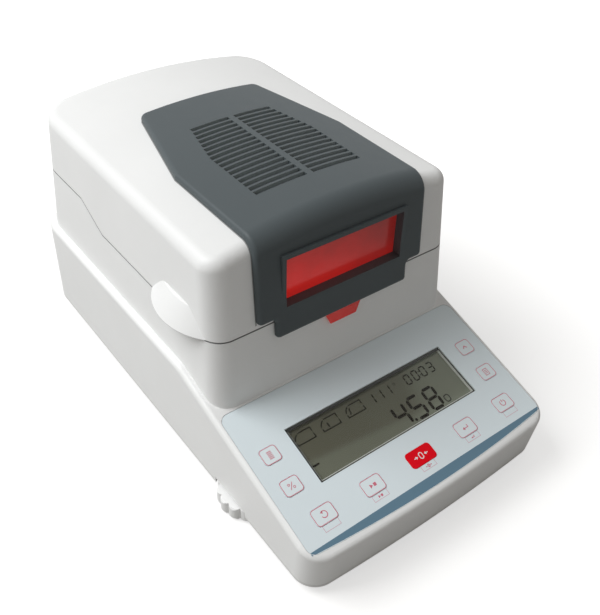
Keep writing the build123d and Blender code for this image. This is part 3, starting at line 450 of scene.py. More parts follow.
@dataclass(frozen=True)
class ClearPane:
    """Thin clear glass or film that lets light through and reflects at a slant.

    Attributes:
        name: The finish's name.
        tint: Colour of what shows through it.
        roughness: Roughness of its reflection.
        shine: Its reflection as a share of plain glass.
    """

    name: str
    tint: Colour = (0.96, 0.97, 0.96)
    roughness: float = 0.04
    shine: float = 1.0

    def material(self) -> bpy.types.Material:
        """Builds the material."""
        recipe = Recipe(self.name)
        smear = recipe.noise(0.02, 4.0)
        through = recipe.node("ShaderNodeBsdfTransparent", None, {"Color": self.tint})
        mirror = recipe.surface({"Base Color": (0.9, 0.9, 0.9), "Metallic": 1.0,
                                 "Roughness": self.roughness + smear * 0.05})
        slant = recipe.node("ShaderNodeFresnel", None, {"IOR": 1.45})
        share = Reading(recipe, slant.outputs[0]) * self.shine
        mixed = recipe.node("ShaderNodeMixShader", None, {0: share, 1: through.outputs[0], 2: mirror})
        return recipe.finished(mixed.outputs[0])


@dataclass(frozen=True)
class PaintedGlowPane:
    """Red transparent plastic with a painted glow and painted light and shade, brightest low down and to the left.

    Attributes:
        name: The finish's name.
        deep: Colour of the painted shade, where the pane is darkest.
        bright: Colour of the painted light, where the pane is brightest.
        glow: How strongly it glows.
        start: Height in metres where the glow starts to fade.
        end: Height in metres where it has faded.
        lean: How much sooner it fades to the right.
    """

    name: str
    deep: Colour = (0.13, 0.020, 0.018)
    bright: Colour = (0.78, 0.022, 0.018)
    glow: float = 0.30
    start: float = 0.116
    end: float = 0.176
    lean: float = 0.42

    def material(self) -> bpy.types.Material:
        """Builds the material."""
        recipe = Recipe(self.name)
        x, _, z = recipe.axes()
        # painted light and shade: brightest low down and to the left, darker higher up and to the right
        fade = (z + x * self.lean).between(self.start, self.end)
        cloud = recipe.noise(0.018, 3.0)
        lit = recipe.mix(fade * 0.75 + (cloud - 0.5) * 0.35, self.bright, self.deep)
        # lit also feeds the emission: a painted glow; the lamp behind gives no light
        return recipe.finished(recipe.surface({
            "Base Color": lit, "Emission Color": lit, "Emission Strength": self.glow,
            "Roughness": 0.16 + cloud * 0.06}))


@dataclass(frozen=True)
class CrystalPanel:
    """Reflective liquid crystal panel, with painted shade that darkens it towards its far left corner and a painted
    glare that lightens its front.

    Attributes:
        name: The finish's name.
        dark: Colour of its shaded side.
        light: Colour of its lit side.
        width: Its width in metres.
        glare_middle: Where along the part the edge of the painted glare lies.
        glare_edge: Half the width of that edge.
    """

    name: str
    dark: Colour = (0.096, 0.088, 0.058)
    light: Colour = (0.250, 0.262, 0.215)
    width: float = 0.133
    glare_middle: float = -0.1385
    glare_edge: float = 0.003

    def material(self) -> bpy.types.Material:
        """Builds the material."""
        recipe = Recipe(self.name)
        x, y, _ = recipe.axes()
        band = (y + x * 0.09 - self.glare_middle).between(self.glare_edge, -self.glare_edge)
        side = (x - y * 0.3).between(self.width * 0.42, self.width * 0.62)
        drift = recipe.noise(0.03, 2.0) - 0.5
        # painted glare and painted shade: lighter towards the front and the right, darker towards the far left
        # corner; drift is random tone
        share = band * 0.42 + side * 0.5 + x.between(-self.width, self.width) * 0.3 + drift * 0.12
        speck = recipe.noise(0.0004, 2.0)
        tint = recipe.mix(share, self.dark, self.light)
        return recipe.finished(recipe.surface({
            "Base Color": tint, "Roughness": 0.42 + speck * 0.1, "Normal": recipe.bump(speck, 0.0000002)}))


@dataclass(frozen=True)
class BoardLaminate:
    """Green solder mask with the tracks showing faintly through it.

    Attributes:
        name: The finish's name.
        mask: Colour of the solder mask.
        track: Colour over the copper.
    """

    name: str
    mask: Colour = (0.012, 0.085, 0.035)
    track: Colour = (0.03, 0.16, 0.06)

    def material(self) -> bpy.types.Material:
        """Builds the material."""
        recipe = Recipe(self.name)
        x, y, _ = recipe.axes()
        bend = recipe.noise(0.02, 1.0)
        across, along = ((axis + bend * 0.02) * (math.tau / pitch)
                         for axis, pitch in ((x, 0.0025), (y, 0.009)))
        copper = (across.wave() * along.wave()).between(0.1, 0.3)
        return recipe.finished(recipe.surface({
            "Base Color": recipe.mix(copper, self.mask, self.track), "Roughness": 0.35 + copper * 0.05,
            "Normal": recipe.bump(copper, 0.00003), "Coat Weight": 0.3}))


@dataclass(frozen=True)
class Ink:
    """Screen-printed ink on a film, a little uneven at its edges.

    Attributes:
        name: The finish's name.
        colour: Its colour.
        roughness: Its roughness.
        shine: How strongly it reflects.
    """

    name: str
    colour: Colour
    roughness: float = 0.4
    shine: float = 0.5

    def material(self) -> bpy.types.Material:
        """Builds the material."""
        recipe = Recipe(self.name)
        screen = recipe.noise(0.0003, 2.0)
        paler = tuple(min(1.0, value * 1.15 + 0.01) for value in self.colour)
        tint = recipe.mix(screen * 0.5, self.colour, paler)
        return recipe.finished(recipe.surface({
            "Base Color": tint, "Roughness": self.roughness + (screen - 0.5) * 0.1,
            "Specular IOR Level": self.shine}))


@dataclass(frozen=True)
class Liquid:
    """Tinted liquid in a spirit level.

    Attributes:
        name: The finish's name.
        colour: Its colour.
    """

    name: str
    colour: Colour = (0.45, 0.62, 0.05)

    def material(self) -> bpy.types.Material:
        """Builds the material."""
        recipe = Recipe(self.name)
        drift = recipe.noise(0.006, 2.0)
        deeper = tuple(value * 0.6 for value in self.colour)
        return recipe.finished(recipe.surface({
            "Base Color": recipe.mix(drift, self.colour, deeper), "Roughness": 0.08 + drift * 0.03,
            "Coat Weight": 1.0, "Coat Roughness": 0.03}))


class Finish(Enum):
    """Every finish on the instrument."""

    SHELL = ShellPlastic("moulded_shell_white", (0.865, 0.868, 0.862), 0.42)
    WHITE = Plastic("moulded_white", (0.865, 0.868, 0.862), 0.42)
    PAN_GREY = Plastic("moulded_off_white", (0.76, 0.76, 0.75), 0.5)
    # grille_slate is far paler than the slate: painted light that lifts the shaded floors of the slots
    SCREEN = Plastic("grille_slate", (0.26, 0.30, 0.31), 0.5, 0.0005, 0.000016, 0.03, 0.15)
    SLATE = GrillePlastic("moulded_slate", (0.086, 0.102, 0.108), 0.42, 0.0005, 0.000016, 0.03, 0.18)
    FILM = Plastic("keypad_film", (0.78, 0.865, 0.90), 0.34, 0.0003, 0.000003, 0.01, 0.3)
    KEY_FILM = Plastic("key_film", (0.80, 0.88, 0.91), 0.32, 0.0003, 0.000003, 0.01, 0.3)
    RED_FILM = Plastic("red_key_film", (0.86, 0.004, 0.014), 0.36, 0.0003, 0.000003, 0.02, 0.08)
    BLACK = Plastic("moulded_black", (0.02, 0.02, 0.021), 0.45, 0.0006, 0.000012, 0.03, 0.2)
    LENS = ClearPane("display_lens_clear", (0.93, 0.94, 0.92), 0.05, 0.18)
    CRYSTAL = CrystalPanel("display_crystal")
    BOARD = BoardLaminate("board_green")
    ZINC = Metal("zinc_plated", (0.56, 0.56, 0.55), 0.34, Brush.NONE, 0.001)
    STAINLESS = Metal("stainless_brushed", (0.62, 0.62, 0.61), 0.30, Brush.ACROSS)
    TURNED = Metal("stainless_turned", (0.64, 0.64, 0.63), 0.28, Brush.TURNED, 0.0008)
    PRESSED = Metal("pressed_aluminium", (0.80, 0.80, 0.81), 0.24, Brush.TURNED, 0.0016)
    CAST = Metal("milled_aluminium", (0.70, 0.70, 0.71), 0.36, Brush.ALONG)
    POLISHED = Metal("polished_reflector", (0.86, 0.85, 0.81), 0.12, Brush.TURNED, 0.003)
    BRASS = Metal("bright_brass", (0.72, 0.56, 0.25), 0.25, Brush.ALONG)
    RUBBER = Rubber("rubber_black")
    WINDOW = PaintedGlowPane("window_red")
    # tongue_red carries the same painted glow and painted light and shade as the window
    TONGUE = PaintedGlowPane("tongue_red", (0.30, 0.010, 0.008), (0.66, 0.030, 0.022), 0.16, 0.094, 0.140)
    HEAT_GLASS = ClearPane("heat_proof_glass", (0.93, 0.95, 0.95), 0.03, 1.2)
    QUARTZ = ClearPane("lamp_quartz", (0.97, 0.96, 0.93), 0.05, 2.0)
    CERAMIC = Plastic("ceramic_white", (0.78, 0.76, 0.71), 0.6, 0.0004, 0.00002, 0.05)
    LIQUID = Liquid("level_liquid")
    ROSE_INK = Ink("ink_rose", (0.58, 0.14, 0.20))
    PALE_INK = Ink("ink_pale_rose", (0.66, 0.44, 0.50))
    WHITE_INK = Ink("ink_white", (0.85, 0.82, 0.83))
    BLUE_INK = Ink("ink_slate_blue", (0.095, 0.185, 0.255))
    SEGMENT = Ink("display_segment", (0.009, 0.005, 0.003), 0.6, 0.06)
    FAINT_SEGMENT = Ink("display_faint_segment", (0.055, 0.055, 0.050), 0.6, 0.06)
    # black ink: the printed ring of the level, and dark sheets of painted shade round the display, in the threaded
    # holes and in the screw recesses
    SHADE_INK = Ink("black_print_and_shade", (0.008, 0.008, 0.008))

    def material(self) -> bpy.types.Material:
        """The finish's material, made once."""
        found = bpy.data.materials.get(self.value.name)
        return found if found is not None else self.value.material()


NODE_FINISHES: dict[Finish, tuple[str, ...]] = {
    Finish.SHELL: ("housing", "lid_shell"),
    Finish.WHITE: ("level_wheel_left", "level_wheel_right"),
    Finish.PAN_GREY: ("bottom_pan",),
    Finish.SLATE: ("vent_cover",),
    Finish.SCREEN: ("grille_screen",),
    Finish.FILM: ("keypad_overlay",),
    Finish.KEY_FILM: ("key_reset", "key_start_stop", "key_enter", "key_on_off", "key_menu", "key_conversion",
                      "key_up", "key_print"),
    Finish.RED_FILM: ("key_tare",),
    Finish.BLACK: ("lcd_frame", "key_switches", "level_cup", "power_inlet", "fuse_holder"),
    Finish.LENS: ("display_lens",),
    Finish.CRYSTAL: ("lcd_glass",),
    Finish.BOARD: ("keypad_board", "main_board", "power_board"),
    Finish.ZINC: ("case_screws", "board_screws", "tray_screws", "serial_port", "hinge_bases", "hinge_leaves",
                  "transformer"),
    Finish.STAINLESS: ("chamber_plate", "heater_tray", "hinge_pins", "temperature_probe"),
    Finish.TURNED: ("draft_shield", "pan_carrier", "pan_handler", "glass_ring"),
    Finish.PRESSED: ("sample_pan",),
    Finish.CAST: ("load_cell", "cell_bracket"),
    Finish.POLISHED: ("reflector",),
    Finish.BRASS: ("inlet_pins",),
    Finish.RUBBER: ("foot_pad_left", "foot_pad_right", "rear_feet", "lid_bumpers"),
    Finish.WINDOW: ("window_plate",),
    Finish.TONGUE: ("light_tongue",),
    Finish.HEAT_GLASS: ("heater_glass",),
    Finish.QUARTZ: ("halogen_lamp",),
    Finish.CERAMIC: ("lamp_holder",),
    Finish.LIQUID: ("level_vial",),
}


def dress(node: str, finish: Finish) -> None:
    """Gives a node of the frame its finish.

    Args:
        node: The node's name.
        finish: Its finish.
    """
    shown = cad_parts[node]
    for place in shown.material_slots:
        place.material = finish.material()
    log.info("dressed %s in %s", node, finish.value.name)


def add_piece(name: str, form: bmesh.types.BMesh, body: str, finish: Finish,
              smooth: bool = False) -> bpy.types.Object:
    """Turns a form into a piece of the instrument.

    Args:
        name: The piece's name.
        form: Its mesh, which is freed.
        body: The body it moves with.
        finish: Its finish.
        smooth: Whether it is shaded smooth.

    Returns:
        The new object.
    """
    mesh = bpy.data.meshes.new(name)
    bmesh.ops.recalc_face_normals(form, faces=form.faces)
    form.to_mesh(mesh)
    form.free()
    mesh.materials.append(finish.material())
    mesh.polygons.foreach_set("use_smooth", [smooth] * len(mesh.polygons))
    piece = bpy.data.objects.new(name, mesh)
    bpy.context.collection.objects.link(piece)
    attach(piece, body)
    log.info("added %s on %s, %d faces", name, body, len(mesh.polygons))
    return piece


@dataclass(frozen=True)
class Easel:
    """A flat place to draw on, with its own directions across and up.

    Attributes:
        origin: Its zero point in metres.
        across: Unit direction to the right.
        up: Unit direction up the drawing.
    """

    origin: Vector
    across: Vector
    up: Vector

    @property
    def out(self) -> Vector:
        """Unit direction out of the drawing."""
        return self.across.cross(self.up)

    def point(self, x: float, y: float, height: float = 0.0) -> Vector:
        """Place in space of a point of the drawing.

        Args:
            x: Millimetres across.
            y: Millimetres up the drawing.
            height: Millimetres out of it.

        Returns:
            The place in metres.
        """
        return self.origin + (self.across * x + self.up * y + self.out * height) * MM

    def read(self, node: str) -> tuple[float, float, float, float, float]:
        """Measures a node's top face on this easel.

        Args:
            node: The node's name.

        Returns:
            Its left, right, low and high edges and its height, in millimetres.
        """
        spots = [vertex.co - self.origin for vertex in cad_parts[node].data.vertices]
        height = max(spot.dot(self.out) for spot in spots)
        top = [spot for spot in spots if spot.dot(self.out) > height - 0.3 * MM]
        xs = [spot.dot(self.across) / MM for spot in top]
        ys = [spot.dot(self.up) / MM for spot in top]
        return min(xs), max(xs), min(ys), max(ys), height / MM


def rounded_outline(width: float, height: float, corner: float, steps: int = 6) -> list[Point]:
    """Points round a rectangle with round corners, about its middle.

    Args:
        width: Its width.
        height: Its height.
        corner: Radius of its corners.
        steps: Points along each corner.

    Returns:
        The points, anticlockwise.
    """
    points = []
    for turn, (sx, sy) in enumerate(((1, 1), (-1, 1), (-1, -1), (1, -1))):
        for step in range(steps + 1):
            angle = math.radians(90 * turn + 90 * step / steps)
            points.append((sx * (width / 2 - corner) + corner * math.cos(angle),
                           sy * (height / 2 - corner) + corner * math.sin(angle)))
    return points


def arc(x: float, y: float, radius: float, start: float, end: float, steps: int = 20) -> list[Point]:
    """Points along an arc.

    Args:
        x: Its centre across.
        y: Its centre up.
        radius: Its radius.
        start: First angle in degrees.
        end: Last angle in degrees.
        steps: How many steps it takes.

    Returns:
        The points.
    """
    turns = [math.radians(start + (end - start) * step / steps) for step in range(steps + 1)]
    return [(x + radius * math.cos(turn), y + radius * math.sin(turn)) for turn in turns]


@dataclass
class Drawing:
    """Flat printed shapes on an easel, built as one thin piece.

    Attributes:
        easel: Where it is drawn.
        height: Millimetres from the easel to its underside.
        thick: Its thickness in millimetres.
        x: Offset across of what is drawn next.
        y: Offset up of what is drawn next.
        form: The mesh so far.
    """

    easel: Easel
    height: float
    thick: float = 0.03
    x: float = 0.0
    y: float = 0.0
    form: bmesh.types.BMesh = field(default_factory=bmesh.new)

    def at(self, x: float, y: float) -> "Drawing":
        """Moves the place that shapes are drawn round."""
        self.x = x
        self.y = y
        return self

    def fill(self, points: list[Point]) -> None:
        """Draws a filled shape.

        Args:
            points: Its outline, with no crossing.
        """
        rings = [[self.form.verts.new(self.easel.point(self.x + x, self.y + y, self.height + rise))
                  for x, y in points] for rise in (0.0, self.thick)]
        self.form.faces.new(rings[0])
        self.form.faces.new(list(reversed(rings[1])))
        for index, low in enumerate(rings[0]):
            after = (index + 1) % len(points)
            self.form.faces.new((low, rings[0][after], rings[1][after], rings[1][index]))

    def line(self, points: list[Point], width: float, closed: bool = False) -> None:
        """Draws a line of even width along points.

        Args:
            points: What it runs through.
            width: Its width in millimetres.
            closed: Whether it runs back to its start.
        """
        sides = [self._mitre(points, index, width / 2, closed) for index in range(len(points))]
        spans = len(points) if closed else len(points) - 1
        for index in range(spans):
            after = (index + 1) % len(points)
            self.fill([sides[index][0], sides[after][0], sides[after][1], sides[index][1]])

    @staticmethod
    def _mitre(points: list[Point], index: int, half: float, closed: bool) -> tuple[Point, Point]:
        """Both edges of a line at one of its points."""
        here = Vector(points[index])
        before = Vector(points[index - 1]) if index > 0 or closed else here
        after = Vector(points[(index + 1) % len(points)]) if index < len(points) - 1 or closed else here
        runs = [run.normalized() for run in (here - before, after - here) if run.length > 1e-9]
        along = (runs[0] + runs[-1]).normalized()
        aside = Vector((-along.y, along.x))
        reach = half / max(0.4, along.dot(runs[0]))
        return tuple(here + aside * reach), tuple(here - aside * reach)

    def disc(self, radius: float, steps: int = 20) -> None:
        """Draws a filled disc."""
        self.fill(arc(0, 0, radius, 0, 360 - 360 / steps, steps - 1))

    def piece(self, name: str, body: str, slot: str, finish: Finish) -> bpy.types.Object:
        """Builds the drawing as one piece."""
        return add_piece(name, self.form, body, finish)


class Symbol(Enum):
    """Plain signs that keys carry in place of words."""

    LINES = "lines"
    PERCENT = "percent"
    CHEVRON = "chevron"
    POWER = "power"
    TURN_BACK = "turn_back"
    RUN = "run"
    ZERO = "zero"
    RETURN = "return"
    SHEET = "sheet"


def draw_symbol(drawing: Drawing, symbol: Symbol, size: float, line: float) -> None:
    """Draws a sign round the drawing's present place.

    Args:
        drawing: What it is drawn on.
        symbol: Which sign.
        size: Its height in millimetres.
        line: Width of its lines in millimetres.
    """
    half = size / 2
    if symbol is Symbol.LINES:
        for step in range(5):
            y = half - size * step / 4
            drawing.line([(-half * 0.7, y), (half * 0.7, y)], line * 1.3)
    elif symbol is Symbol.PERCENT:
        drawing.line([(-half * 0.7, -half), (half * 0.7, half)], line)
        for side in (-1, 1):
            ring = arc(side * half * 0.62, -side * half * 0.55, half * 0.3, 0, 342, 14)
            drawing.line(ring, line * 0.9, True)
    elif symbol is Symbol.CHEVRON:
        drawing.line([(-half, -half * 0.5), (0, half * 0.6), (half, -half * 0.5)], line * 1.6)
    elif symbol is Symbol.POWER:
        drawing.line(arc(0, 0, half, 125, 415, 24), line * 1.3)
        drawing.line([(0, half * 0.2), (0, half * 1.25)], line * 1.3)
    elif symbol is Symbol.TURN_BACK:
        drawing.line(arc(0, 0, half, 120, -160, 24), line * 1.3)
        tip = (half * math.cos(math.radians(120)), half * math.sin(math.radians(120)))
        drawing.fill([(tip[0] - half * 0.45, tip[1] - half * 0.1), (tip[0] + half * 0.3, tip[1] - half * 0.55),
                      (tip[0] + half * 0.35, tip[1] + half * 0.4)])
    elif symbol is Symbol.RUN:
        drawing.fill([(-half * 1.3, -half * 0.8), (0, 0), (-half * 1.3, half * 0.8)])
        drawing.fill([(half * 0.3, -half * 0.65), (half * 1.5, -half * 0.65), (half * 1.5, half * 0.65),
                      (half * 0.3, half * 0.65)])
    elif symbol is Symbol.ZERO:
        drawing.line(rounded_outline(size * 0.62, size, size * 0.3), line * 1.5, True)
        for side in (-1, 1):
            drawing.fill([(side * size * 0.62, 0), (side * size, half * 0.55), (side * size, -half * 0.55)])
            drawing.line([(side * size * 0.95, 0), (side * size * 1.35, 0)], line * 1.3)
    elif symbol is Symbol.RETURN:
        drawing.line([(half, half * 0.8), (half, -half * 0.2), (-half * 0.6, -half * 0.2)], line * 1.2)
        drawing.fill([(-half * 1.2, -half * 0.2), (-half * 0.4, -half * 0.75), (-half * 0.4, half * 0.35)])
    elif symbol is Symbol.SHEET:
        wide = half * 0.7
        drawing.line([(-wide, -half), (wide, -half), (wide, half), (-wide, half)], line, True)
        for y in (-0.45, 0.0, 0.45):
            drawing.line([(-half * 0.4, half * y), (half * 0.4, half * y)], line)


@dataclass
class Keypad:
    """The printed film on the sloping front, with a sign and a frame on each key.

    Attributes:
        tilt: Slope of the film in degrees.
        front: Where the slope starts, in millimetres along the part.
        rise: Height of that place in millimetres.
        start: Millimetres up the slope to the film's zero line.
        outline: Width of a key's printed outline.
        inset: How far that outline lies inside the key.
        corner: Radius of its corners.
        tab_width: Width of the small frame under a key.
        tab_height: Height of that frame.
        tab_shift: How far it lies to the right of the key's middle.
        stripe_half: Half the length of the coloured stripe along the front.
        stripe_edge: Height up the slope of its straight edge.
        stripe_low: Height of its bowed edge at the ends.
        bow: How far that edge bows.
        signs: Each key with its sign and the sign's height.
        tabs: Keys that have a small frame below them.
        tab_signs: Keys with a sign in that frame, and its height.
        tab_gap: Distance from a key to its frame.
    """

    tilt: float = 17.15
    front: float = -189.75
    rise: float = 39.4
    start: float = 8.0
    outline: float = 0.42
    inset: float = 0.35
    corner: float = 2.1
    tab_width: float = 11.2
    tab_height: float = 3.7
    tab_shift: float = 0.2
    stripe_half: float = 97.6
    stripe_edge: float = 3.8
    stripe_low: float = 1.9
    bow: float = 4.7
    signs: tuple[tuple[str, Symbol, float], ...] = (
        ("key_menu", Symbol.LINES, 4.6), ("key_conversion", Symbol.PERCENT, 4.4), ("key_up", Symbol.CHEVRON, 3.2),
        ("key_print", Symbol.SHEET, 4.8), ("key_reset", Symbol.TURN_BACK, 4.2), ("key_start_stop", Symbol.RUN, 3.4),
        ("key_enter", Symbol.RETURN, 4.2), ("key_on_off", Symbol.POWER, 4.2), ("key_tare", Symbol.ZERO, 4.2))
    tabs: tuple[str, ...] = ("key_reset", "key_start_stop", "key_tare", "key_enter", "key_on_off")
    tab_signs: tuple[tuple[str, Symbol, float], ...] = (
        ("key_start_stop", Symbol.RUN, 2.4), ("key_enter", Symbol.RETURN, 2.4), ("key_tare", Symbol.ZERO, 1.8))
    tab_gap: float = 0.3

    def easel(self) -> Easel:
        """The film's own drawing plane."""
        slope = math.radians(self.tilt)
        up = Vector((0, math.cos(slope), math.sin(slope)))
        origin = Vector((0, self.front, self.rise)) * MM + up * self.start * MM
        return Easel(origin, Vector((1, 0, 0)), up)

    def build(self) -> None:
        """Prints the keys, the tabs and the stripe."""
        easel = self.easel()
        film = easel.read("keypad_overlay")[4]
        for key, symbol, size in self.signs:
            self.print_key(easel, key, symbol, size)
        self.print_tabs(easel, film)
        self.print_stripe(easel, film)

    def print_key(self, easel: Easel, key: str, symbol: Symbol, size: float) -> None:
        """Prints one key's outline and sign.

        Args:
            easel: The film's plane.
            key: The key's node.
            symbol: Its sign.
            size: The sign's height in millimetres.
        """
        left, right, low, high, top = easel.read(key)
        red = key == "key_tare"
        drawing = Drawing(easel, top).at((left + right) / 2, (low + high) / 2)
        if not red:
            width = right - left - 2 * self.inset
            height = high - low - 2 * self.inset
            drawing.line(rounded_outline(width, height, self.corner), self.outline, True)
        draw_symbol(drawing, symbol, size, self.outline)
        slot, ink = ("red_key", Finish.WHITE_INK) if red else ("key_cap", Finish.ROSE_INK)
        drawing.piece(f"print_{key}", f"{key}_body", slot, ink)

    def print_tabs(self, easel: Easel, film: float) -> None:
        """Prints the small frames under the front row of keys.

        Args:
            easel: The film's plane.
            film: Height of the film's top face in millimetres.
        """
        half = self.tab_width / 2
        frame_line = [(-half, 0), (-half, -self.tab_height), (half, -self.tab_height), (half, 0)]
        drawing = Drawing(easel, film)
        for key in self.tabs:
            left, right, low, _, _ = easel.read(key)
            drawing.at((left + right) / 2 + self.tab_shift, low - self.tab_gap)
            drawing.line(frame_line, self.outline * 0.8)
        drawing.piece("print_tabs", "base", "membrane", Finish.PALE_INK)
        marks = Drawing(easel, film)
        for key, symbol, size in self.tab_signs:
            left, right, low, _, _ = easel.read(key)
            marks.at((left + right) / 2 + self.tab_shift, low - self.tab_gap - self.tab_height / 2)
            draw_symbol(marks, symbol, size, self.outline * 0.9)
        marks.piece("print_marks", "base", "membrane", Finish.ROSE_INK)

    def print_stripe(self, easel: Easel, film: float) -> None:
        """Prints the coloured stripe between a straight line and the film's bowed edge.

        Args:
            easel: The film's plane.
            film: Height of the film's top face in millimetres.
        """
        steps = 32
        drawing = Drawing(easel, film)
        lows = []
        for step in range(steps + 1):
            x = self.stripe_half * (2 * step / steps - 1)
            lows.append((x, self.stripe_low - self.bow * (1 - (x / self.stripe_half) ** 2)))
        for (x, y), (x_next, y_next) in zip(lows, lows[1:]):
            drawing.fill([(x, y), (x_next, y_next), (x_next, self.stripe_edge), (x, self.stripe_edge)])
        drawing.piece("print_stripe", "base", "membrane", Finish.BLUE_INK)


@dataclass
class Display:
    """What the liquid crystal shows: a large number, two small ones and three course boxes.

    Attributes:
        keypad: The keypad that it lies in.
        left: Left edge of what the lens shows, in millimetres.
        low: Front edge of what the lens shows.
        high: Rear edge of what the lens shows.
        thick: Thickness of what it shows.
        numbers: Each number's left and lower edge, height and pitch of its digits, and text.
        boxes: Left course box, across and up, and the distance from one box to the next.
        dash: Middle of the dash at the left, across and up.
        unit: Middle of the mark behind the large number.
        degree: Middle of the small ring behind the first small number.
        lean: How far a digit leans over its height.
        box_line: Width of the lines of the course boxes.
        mask_depth: Depth of the dark sheet of painted shade inside the lens.
        mask_side: Width of that painted shade at the front and the sides.
        mask_rear: Width of the mask at the rear, where the frame shades the panel.
        play: Gap between the mask and the lens's edge.
        segments: The segments that make each digit.
    """

    keypad: Keypad
    left: float = -66.6
    low: float = 35.0
    high: float = 75.6
    thick: float = 0.02
    numbers: tuple[tuple[float, float, float, float, str], ...] = (
        (4.6, 38.6, 15.6, 13.9, "4.58"), (-3.6, 62.4, 7.2, 7.1, "111"), (28.6, 62.4, 7.2, 7.1, "00:03"))
    boxes: tuple[float, float, float] = (-57.0, 66.4, 20.4)
    dash: Point = (-61.8, 46.8)
    unit: Point = (46.5, 41.4)
    degree: Point = (19.8, 68.0)
    lean: float = 0.05
    box_line: float = 0.85
    mask_depth: float = 0.9
    mask_side: float = 1.0
    mask_rear: float = 2.2
    play: float = 0.3
    segments: dict[str, str] = field(default_factory=lambda: {
        "0": "abcdef", "1": "bc", "2": "abged", "3": "abgcd", "4": "fgbc", "5": "afgcd", "6": "afgedc", "7": "abc",
        "8": "abcdefg", "9": "abcdfg"})

    def build(self) -> None:
        """Draws all that the panel shows."""
        easel = self.keypad.easel()
        top = easel.read("lcd_glass")[4]
        drawing = Drawing(easel, top, self.thick)
        for number in self.numbers:
            self.number(drawing, *number)
        x, y, pitch = self.boxes
        for index in range(3):
            self.course_box(drawing, x + index * pitch, y, index)
        drawing.at(*self.dash).line([(-2.8, 0), (2.8, 0)], 1.3)
        drawing.piece("display_digits", "base", "lcd", Finish.SEGMENT)
        marks = Drawing(easel, top, self.thick)
        marks.at(*self.unit).line(rounded_outline(4.0, 5.0, 1.6), 0.9, True)
        marks.at(*self.degree).line(rounded_outline(1.6, 1.6, 0.7), 0.5, True)
        marks.piece("display_marks", "base", "lcd", Finish.FAINT_SEGMENT)
        self.mask(easel)

    def mask(self, easel: Easel) -> None:
        """Lays a dark sheet of painted shade round the view, inside the lens.

        Args:
            easel: The film's plane.
        """
        # painted shade: dark bands round the view, widest at the rear where the frame shades the panel
        drawing = Drawing(easel, -self.mask_depth)
        half = -self.left - self.play
        rear = self.high - self.play
        for left, right, low, high in ((-half, half, self.high - self.mask_rear, rear),
                                       (-half, half, self.low + self.play, self.low + self.mask_side),
                                       (-half, self.mask_side - half, self.low, rear),
                                       (half - self.mask_side, half, self.low, rear)):
            drawing.fill([(left, low), (right, low), (right, high), (left, high)])
        drawing.piece("display_shade_mask", "base", "black_plastic", Finish.SHADE_INK)

    def number(self, drawing: Drawing, pen: float, y: float, size: float, pitch: float, text: str) -> None:
        """Draws digits on one base line.

        Args:
            drawing: What they are drawn on.
            pen: Left edge of the first one in millimetres.
            y: Their lower edge.
            size: Their height.
            pitch: Distance from one digit to the next.
            text: Digits, points and colons.
        """
        for sign in text:
            if sign in self.segments:
                self.digit(drawing.at(pen, y), size, self.segments[sign])
                pen += pitch
            else:
                dots = (0.05,) if sign == "." else (0.28, 0.68)
                for share in dots:
                    drawing.at(pen - pitch * 0.16, y + size * share).disc(size * 0.07, 8)

    def digit(self, drawing: Drawing, size: float, lit: str) -> None:
        """Draws one digit of seven segments.

        Args:
            drawing: What it is drawn on.
            size: Its height in millimetres.
            lit: Letters of the segments that are dark.
        """
        wide = size * 0.56
        bar = size * 0.14
        gap = size * 0.02
        half = size / 2
        ends = {"a": ((0, size), (wide, size)), "b": ((wide, size), (wide, half)), "c": ((wide, half), (wide, 0)),
                "d": ((0, 0), (wide, 0)), "e": ((0, half), (0, 0)), "f": ((0, size), (0, half)),
                "g": ((0, half), (wide, half))}
        for letter in lit:
            start, end = (Vector(place) for place in ends[letter])
            along = (end - start).normalized()
            aside = Vector((-along.y, along.x)) * bar / 2
            first = start + along * gap
            last = end - along * gap
            corners = [first, first + along * bar / 2 + aside, last - along * bar / 2 + aside, last,
                       last - along * bar / 2 - aside, first + along * bar / 2 - aside]
            drawing.fill([(corner.x + corner.y * self.lean, corner.y) for corner in corners])

    def course_box(self, drawing: Drawing, x: float, y: float, index: int) -> None:
        """Draws one of the boxes that picture a heating course.

        Args:
            drawing: What it is drawn on.
            x: Its middle in millimetres.
            y: Its middle in millimetres.
            index: Which of the three it is.
        """
        drawing.at(x, y)
        line = self.box_line
        drawing.line([(-2.4, 3.8), (7.0, 3.8), (7.0, 0.8)], line)
        drawing.line([(7.0, -0.8), (7.0, -3.8), (-6.8, -3.8), (-6.8, -1.8)], line)
        drawing.line([(-6.8, -0.6), (-5.6, 1.6), (-3.4, 3.4)], line)
        if index == 1:
            drawing.line([(-1.6, -2.6), (-1.6, 0.6)], line * 1.3)
        elif index == 2:
            drawing.line([(-4.6, -2.4), (-3.6, -1.2), (-3.6, 0.8), (-2.4, 1.8)], line * 1.1)


